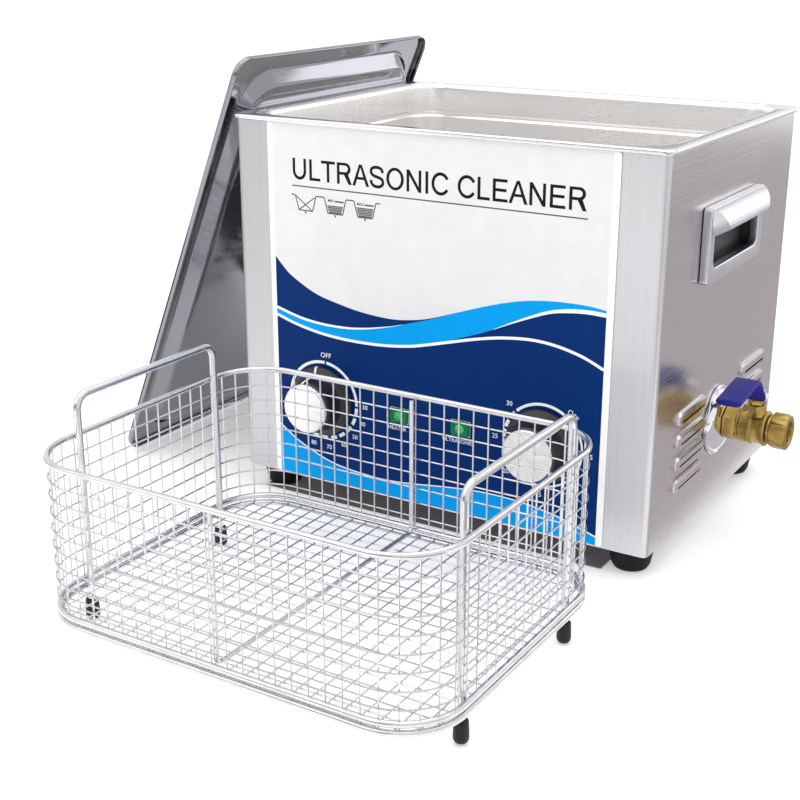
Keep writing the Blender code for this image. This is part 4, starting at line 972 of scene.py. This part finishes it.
def basket():
    place = upwards(BASKET)
    body, slot = "basket_group", "basket_wire"
    for name, height, node in (("basket_rim_wire", RIM_Z, "basket_rim"),
                               ("basket_lower_wire", RINGS_Z[0], "basket_lower_ring"),
                               ("basket_upper_wire", RINGS_Z[1], "basket_upper_ring")):
        ring = [(x, y, height) for x, y in outline_at(0)]
        piece(name, strands([ring], 2.0, True, 4, place), body, slot, WIRE, node)
    uprights = [[(x, y, RINGS_Z[0]), (x, y, RIM_Z - 0.5)] for x, y in along_outline(-MESH_R, 84)]
    rows = [[(x, y, RINGS_Z[1] + 10.6 * (i + 1) - 2) for x, y in outline_at(MESH_R)] for i in range(8)]
    mesh = joined(strands(uprights, MESH_R, False, 1, place), strands(rows, MESH_R, True, 1, place))
    piece("basket_wall_mesh", mesh, body, slot, MESH_WIRE, "basket_wall")
    grid = []
    for half, other_half, level, turned in ((SPAN_Y / 2, SPAN_X / 2, FLOOR_Z - 0.55, False),
                                            (SPAN_X / 2, SPAN_Y / 2, FLOOR_Z + 0.65, True)):
        for i in range(-13, 13):
            off = GRID * (i + 0.5)
            if abs(off) < half - 2:
                reach = half_span(off, half, other_half) - 1.2
                grid.append([(off, x, level) if turned else (x, off, level) for x in (-reach, reach)])
    piece("basket_floor_mesh", strands(grid, MESH_R, False, 1, place), body, slot, MESH_WIRE,
          "basket_floor")
    leg_x, leg_y, top, bend, low = 133.2, 64.0, 148.0, 9.0, 3.6
    arch = [(-leg_y, low)] + arc(bend - leg_y, top - bend, bend, 180, 90, 8)
    arch += arc(leg_y - bend, top - bend, bend, 90, 0, 8) + [(leg_y, low)]
    cap = [(0, 0), (2.2, 0.15), (3.5, 0.8), (4.3, 2.0), (4.6, 3.6), (4.45, 8), (4.2, 13), (3.95, 13.8), (3.4, 14.1),
           (2.7, 14.1), (2.7, 3.2), (0, 3.2)]
    for side, sx in (("left", -1), ("right", 1)):
        path = [(sx * leg_x, y, z) for y, z in arch]
        piece(f"basket_rod_{side}", strands([path], 2.5, False, 4, place), body, slot, WIRE,
              f"basket_handle_{side}")
        for end, sy in (("front", -1), ("rear", 1)):
            at = upwards(BASKET + Vector((sx * leg_x, sy * leg_y, 0)) * MM)
            piece(f"basket_tip_{end}_{side}", lathe(cap, at, 40), body, "black_rubber", BASKET_RUBBER,
                  f"basket_foot_{end}_{side}")
    reach, high, floor = SPAN_Y / 2 - 4, RIM_Z - 2, 26.2
    path = [(-reach, high)] + arc(5 - reach, floor + 5, 5, 180, 270, 6)
    path += arc(reach - 5, floor + 5, 5, 270, 360, 6) + [(reach, high)]
    piece("basket_tie", strands([[(0, y, z) for y, z in path]], 1.6, False, 3, place), body, slot, WIRE,
          "basket_centre_wire")


# ---------------------------------------------------------------- feet and small fittings

def machine_feet():
    profile = [(0, 0), (10.8, 0), (11.6, 0.3), (12.1, 1.0), (13.4, 3.2), (15.2, 12.6), (15.9, 14.9), (16, 16),
               (15.8, 17.3), (15.2, 17.7), (0, 17.7)]
    for row in ("front", "rear"):
        for side in ("left", "right"):
            node = f"foot_{row}_{side}"
            at = middle(node)
            at.z = 0
            piece(f"rubber_{node}", lathe(profile, upwards(at), 56), "machine", "black_rubber", RUBBER, node)


def screw(place, radius=3.0):
    """Pan-head screw, and two dark bars painted on its head as the shade of its cross recess."""
    head = lathe([(0, 1.5), (radius * 0.55, 1.45), (radius * 0.85, 1.1), (radius, 0.35), (radius, 0), (0, 0)],
                 place, 28)
    top, bar = place @ Matrix.Translation((0, 0, 1.46 * MM)), (radius * 1.1, radius * 0.26)
    return head, [plate([rounded_rect(*size, 0.1, 1)], 0.06, top) for size in (bar, bar[::-1])]


def screws():
    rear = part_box("rear_panel")[1].y
    heads, painted_recess_shades = [], []
    spots = [(sx * 157, z) for sx in (-1, 1) for z in (32, 152, 272)]
    spots += [(-70 + sx * 35.8, 76 + sz * 35.8) for sx in (-1, 1) for sz in (-1, 1)]
    for x, z in spots:
        head, cross = screw(backwards(Vector((MACHINE.x + x * MM, rear, z * MM))))
        heads.append(head)
        painted_recess_shades += cross
    piece("rear_screws", joined(*heads), "machine", "chrome_trim", CHROME)
    # dark bars on the heads: painted shade of the cross recesses
    piece("rear_screw_painted_recess_shade", joined(*painted_recess_shades), "machine", "dark_steel", DARK_STEEL)


# ---------------------------------------------------------------- stage, lights and camera

CARD_Z = 0.0004
GREY_LIGHT = (1, 0.98, 1)


def stage_card(name, corners, colour, strength, albedo=0.0):
    """Flat card of the studio. One without albedo only shows as a soft reflection."""
    mesh = bpy.data.meshes.new(name)
    mesh.from_pydata(corners, [], [(0, 1, 2, 3)])
    card = bpy.data.objects.new(name, mesh)
    bpy.context.scene.collection.objects.link(card)
    look = bpy.data.materials.new(name)
    look.use_nodes = True
    shader = look.node_tree.nodes["Principled BSDF"]
    shader.inputs["Base Color"].default_value = (albedo, albedo, albedo, 1)
    shader.inputs["Roughness"].default_value = 1.0
    shader.inputs["Specular IOR Level"].default_value = 0.0
    shader.inputs["Emission Color"].default_value = (*colour, 1)
    shader.inputs["Emission Strength"].default_value = strength
    mesh.materials.append(look)
    if not albedo:
        card.visible_camera = card.visible_diffuse = card.visible_shadow = False
        card.visible_transmission = card.visible_volume_scatter = False


def floor_card(name, x0, y0, x1, y1, colour, strength, height=CARD_Z, albedo=0.0):
    corners = [(x0, y0, height), (x1, y0, height), (x1, y1, height), (x0, y1, height)]
    stage_card(name, corners, colour, strength, albedo)


def upright_card(name, start, end, low, high, colour, strength):
    stage_card(name, [(*start, low), (*end, low), (*end, high), (*start, high)], colour, strength)


def light(name, at, towards, size, power):
    data = bpy.data.lights.new(name, "AREA")
    data.shape, data.size, data.size_y, data.energy = "RECTANGLE", *size, power
    lamp = bpy.data.objects.new(name, data)
    bpy.context.scene.collection.objects.link(lamp)
    lamp.location = at
    lamp.rotation_euler = (Vector(towards) - Vector(at)).to_track_quat("-Z", "Y").to_euler()
    lamp.visible_camera = False


def studio():
    far = 40.0
    floor_card("studio_floor", -far, -far, far, far, (1, 1, 1), 0.31, -0.0006, 0.90)
    floor_card("grey_card_right", 0.225, 0.0, 1.7, 2.2, (1.0, 0.94, 0.965), 0.58)
    floor_card("dark_card_rear", -0.45, 0.27, 0.20, 0.80, (0.95, 0.95, 1.0), 0.11)
    floor_card("grey_card_front", 0.30, -2.4, 2.2, -0.20, GREY_LIGHT, 0.55)
    corners = [(x, y, CARD_Z) for x, y in ((-0.27, 0), (-1.3, 0), (-1.6, -0.9), (-0.95, -0.8))]
    stage_card("dark_card_left", corners, GREY_LIGHT, 0.22)
    upright_card("dark_card_room", (-1.6, -2.7), (0.9, -2.7), 0, 1.2, GREY_LIGHT, 0.22)
    # a dark card laid on the floor under the case: painted shadow
    low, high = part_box("base_plate")
    floor_card("shade_under_case", low.x + 10 * MM, low.y + 3 * MM, high.x - 32 * MM, low.y + 90 * MM,
               (1, 0.9, 0.98), 0.045, 0.0002, 0.10)
    upright_card("bright_card_rear", (0.85, 2.33), (1.25, 2.16), 0.30, 1.9, (1, 1, 1), 2.8)
    upright_card("dark_card_far", (-2.4, 1.6), (-0.3, 2.5), 0.05, 0.36, GREY_LIGHT, 0.16)
    world = bpy.data.worlds.new("studio_air")
    bpy.context.scene.world = world
    world.use_nodes = True
    air = world.node_tree.nodes["Background"]
    air.inputs["Color"].default_value = (1.0, 1.0, 1.0, 1)
    air.inputs["Strength"].default_value = 1.0
    light("key_softbox", (-0.9, -1.5, 1.7), (0, 0, 0.1), (2.0, 2.0), 8)
    light("top_softbox", (0.1, 0.2, 1.9), (0.05, 0.1, 0), (2.2, 2.0), 15)


def camera():
    data = bpy.data.cameras.new("camera")
    data.sensor_width, data.lens = 36, 61.62
    data.clip_start, data.clip_end = 0.05, 100
    holder = bpy.data.objects.new("camera", data)
    bpy.context.scene.collection.objects.link(holder)
    holder.location = Vector((498.1, -779.3, 413.3)) * MM
    downwards, turned = 0.3326, 0.5537
    holder.rotation_euler = (math.pi / 2 - downwards, 0, turned)
    bpy.context.scene.camera = holder


dress_cad()
label_print()
dial_print()
heading_print()
knobs()
carry_handles()
drain_valve()
lever()
lamp_domes()
tank()
lid()
lid_bar()
basket()
machine_feet()
screws()
studio()
camera()
bpy.context.scene.view_settings.view_transform = "Standard"
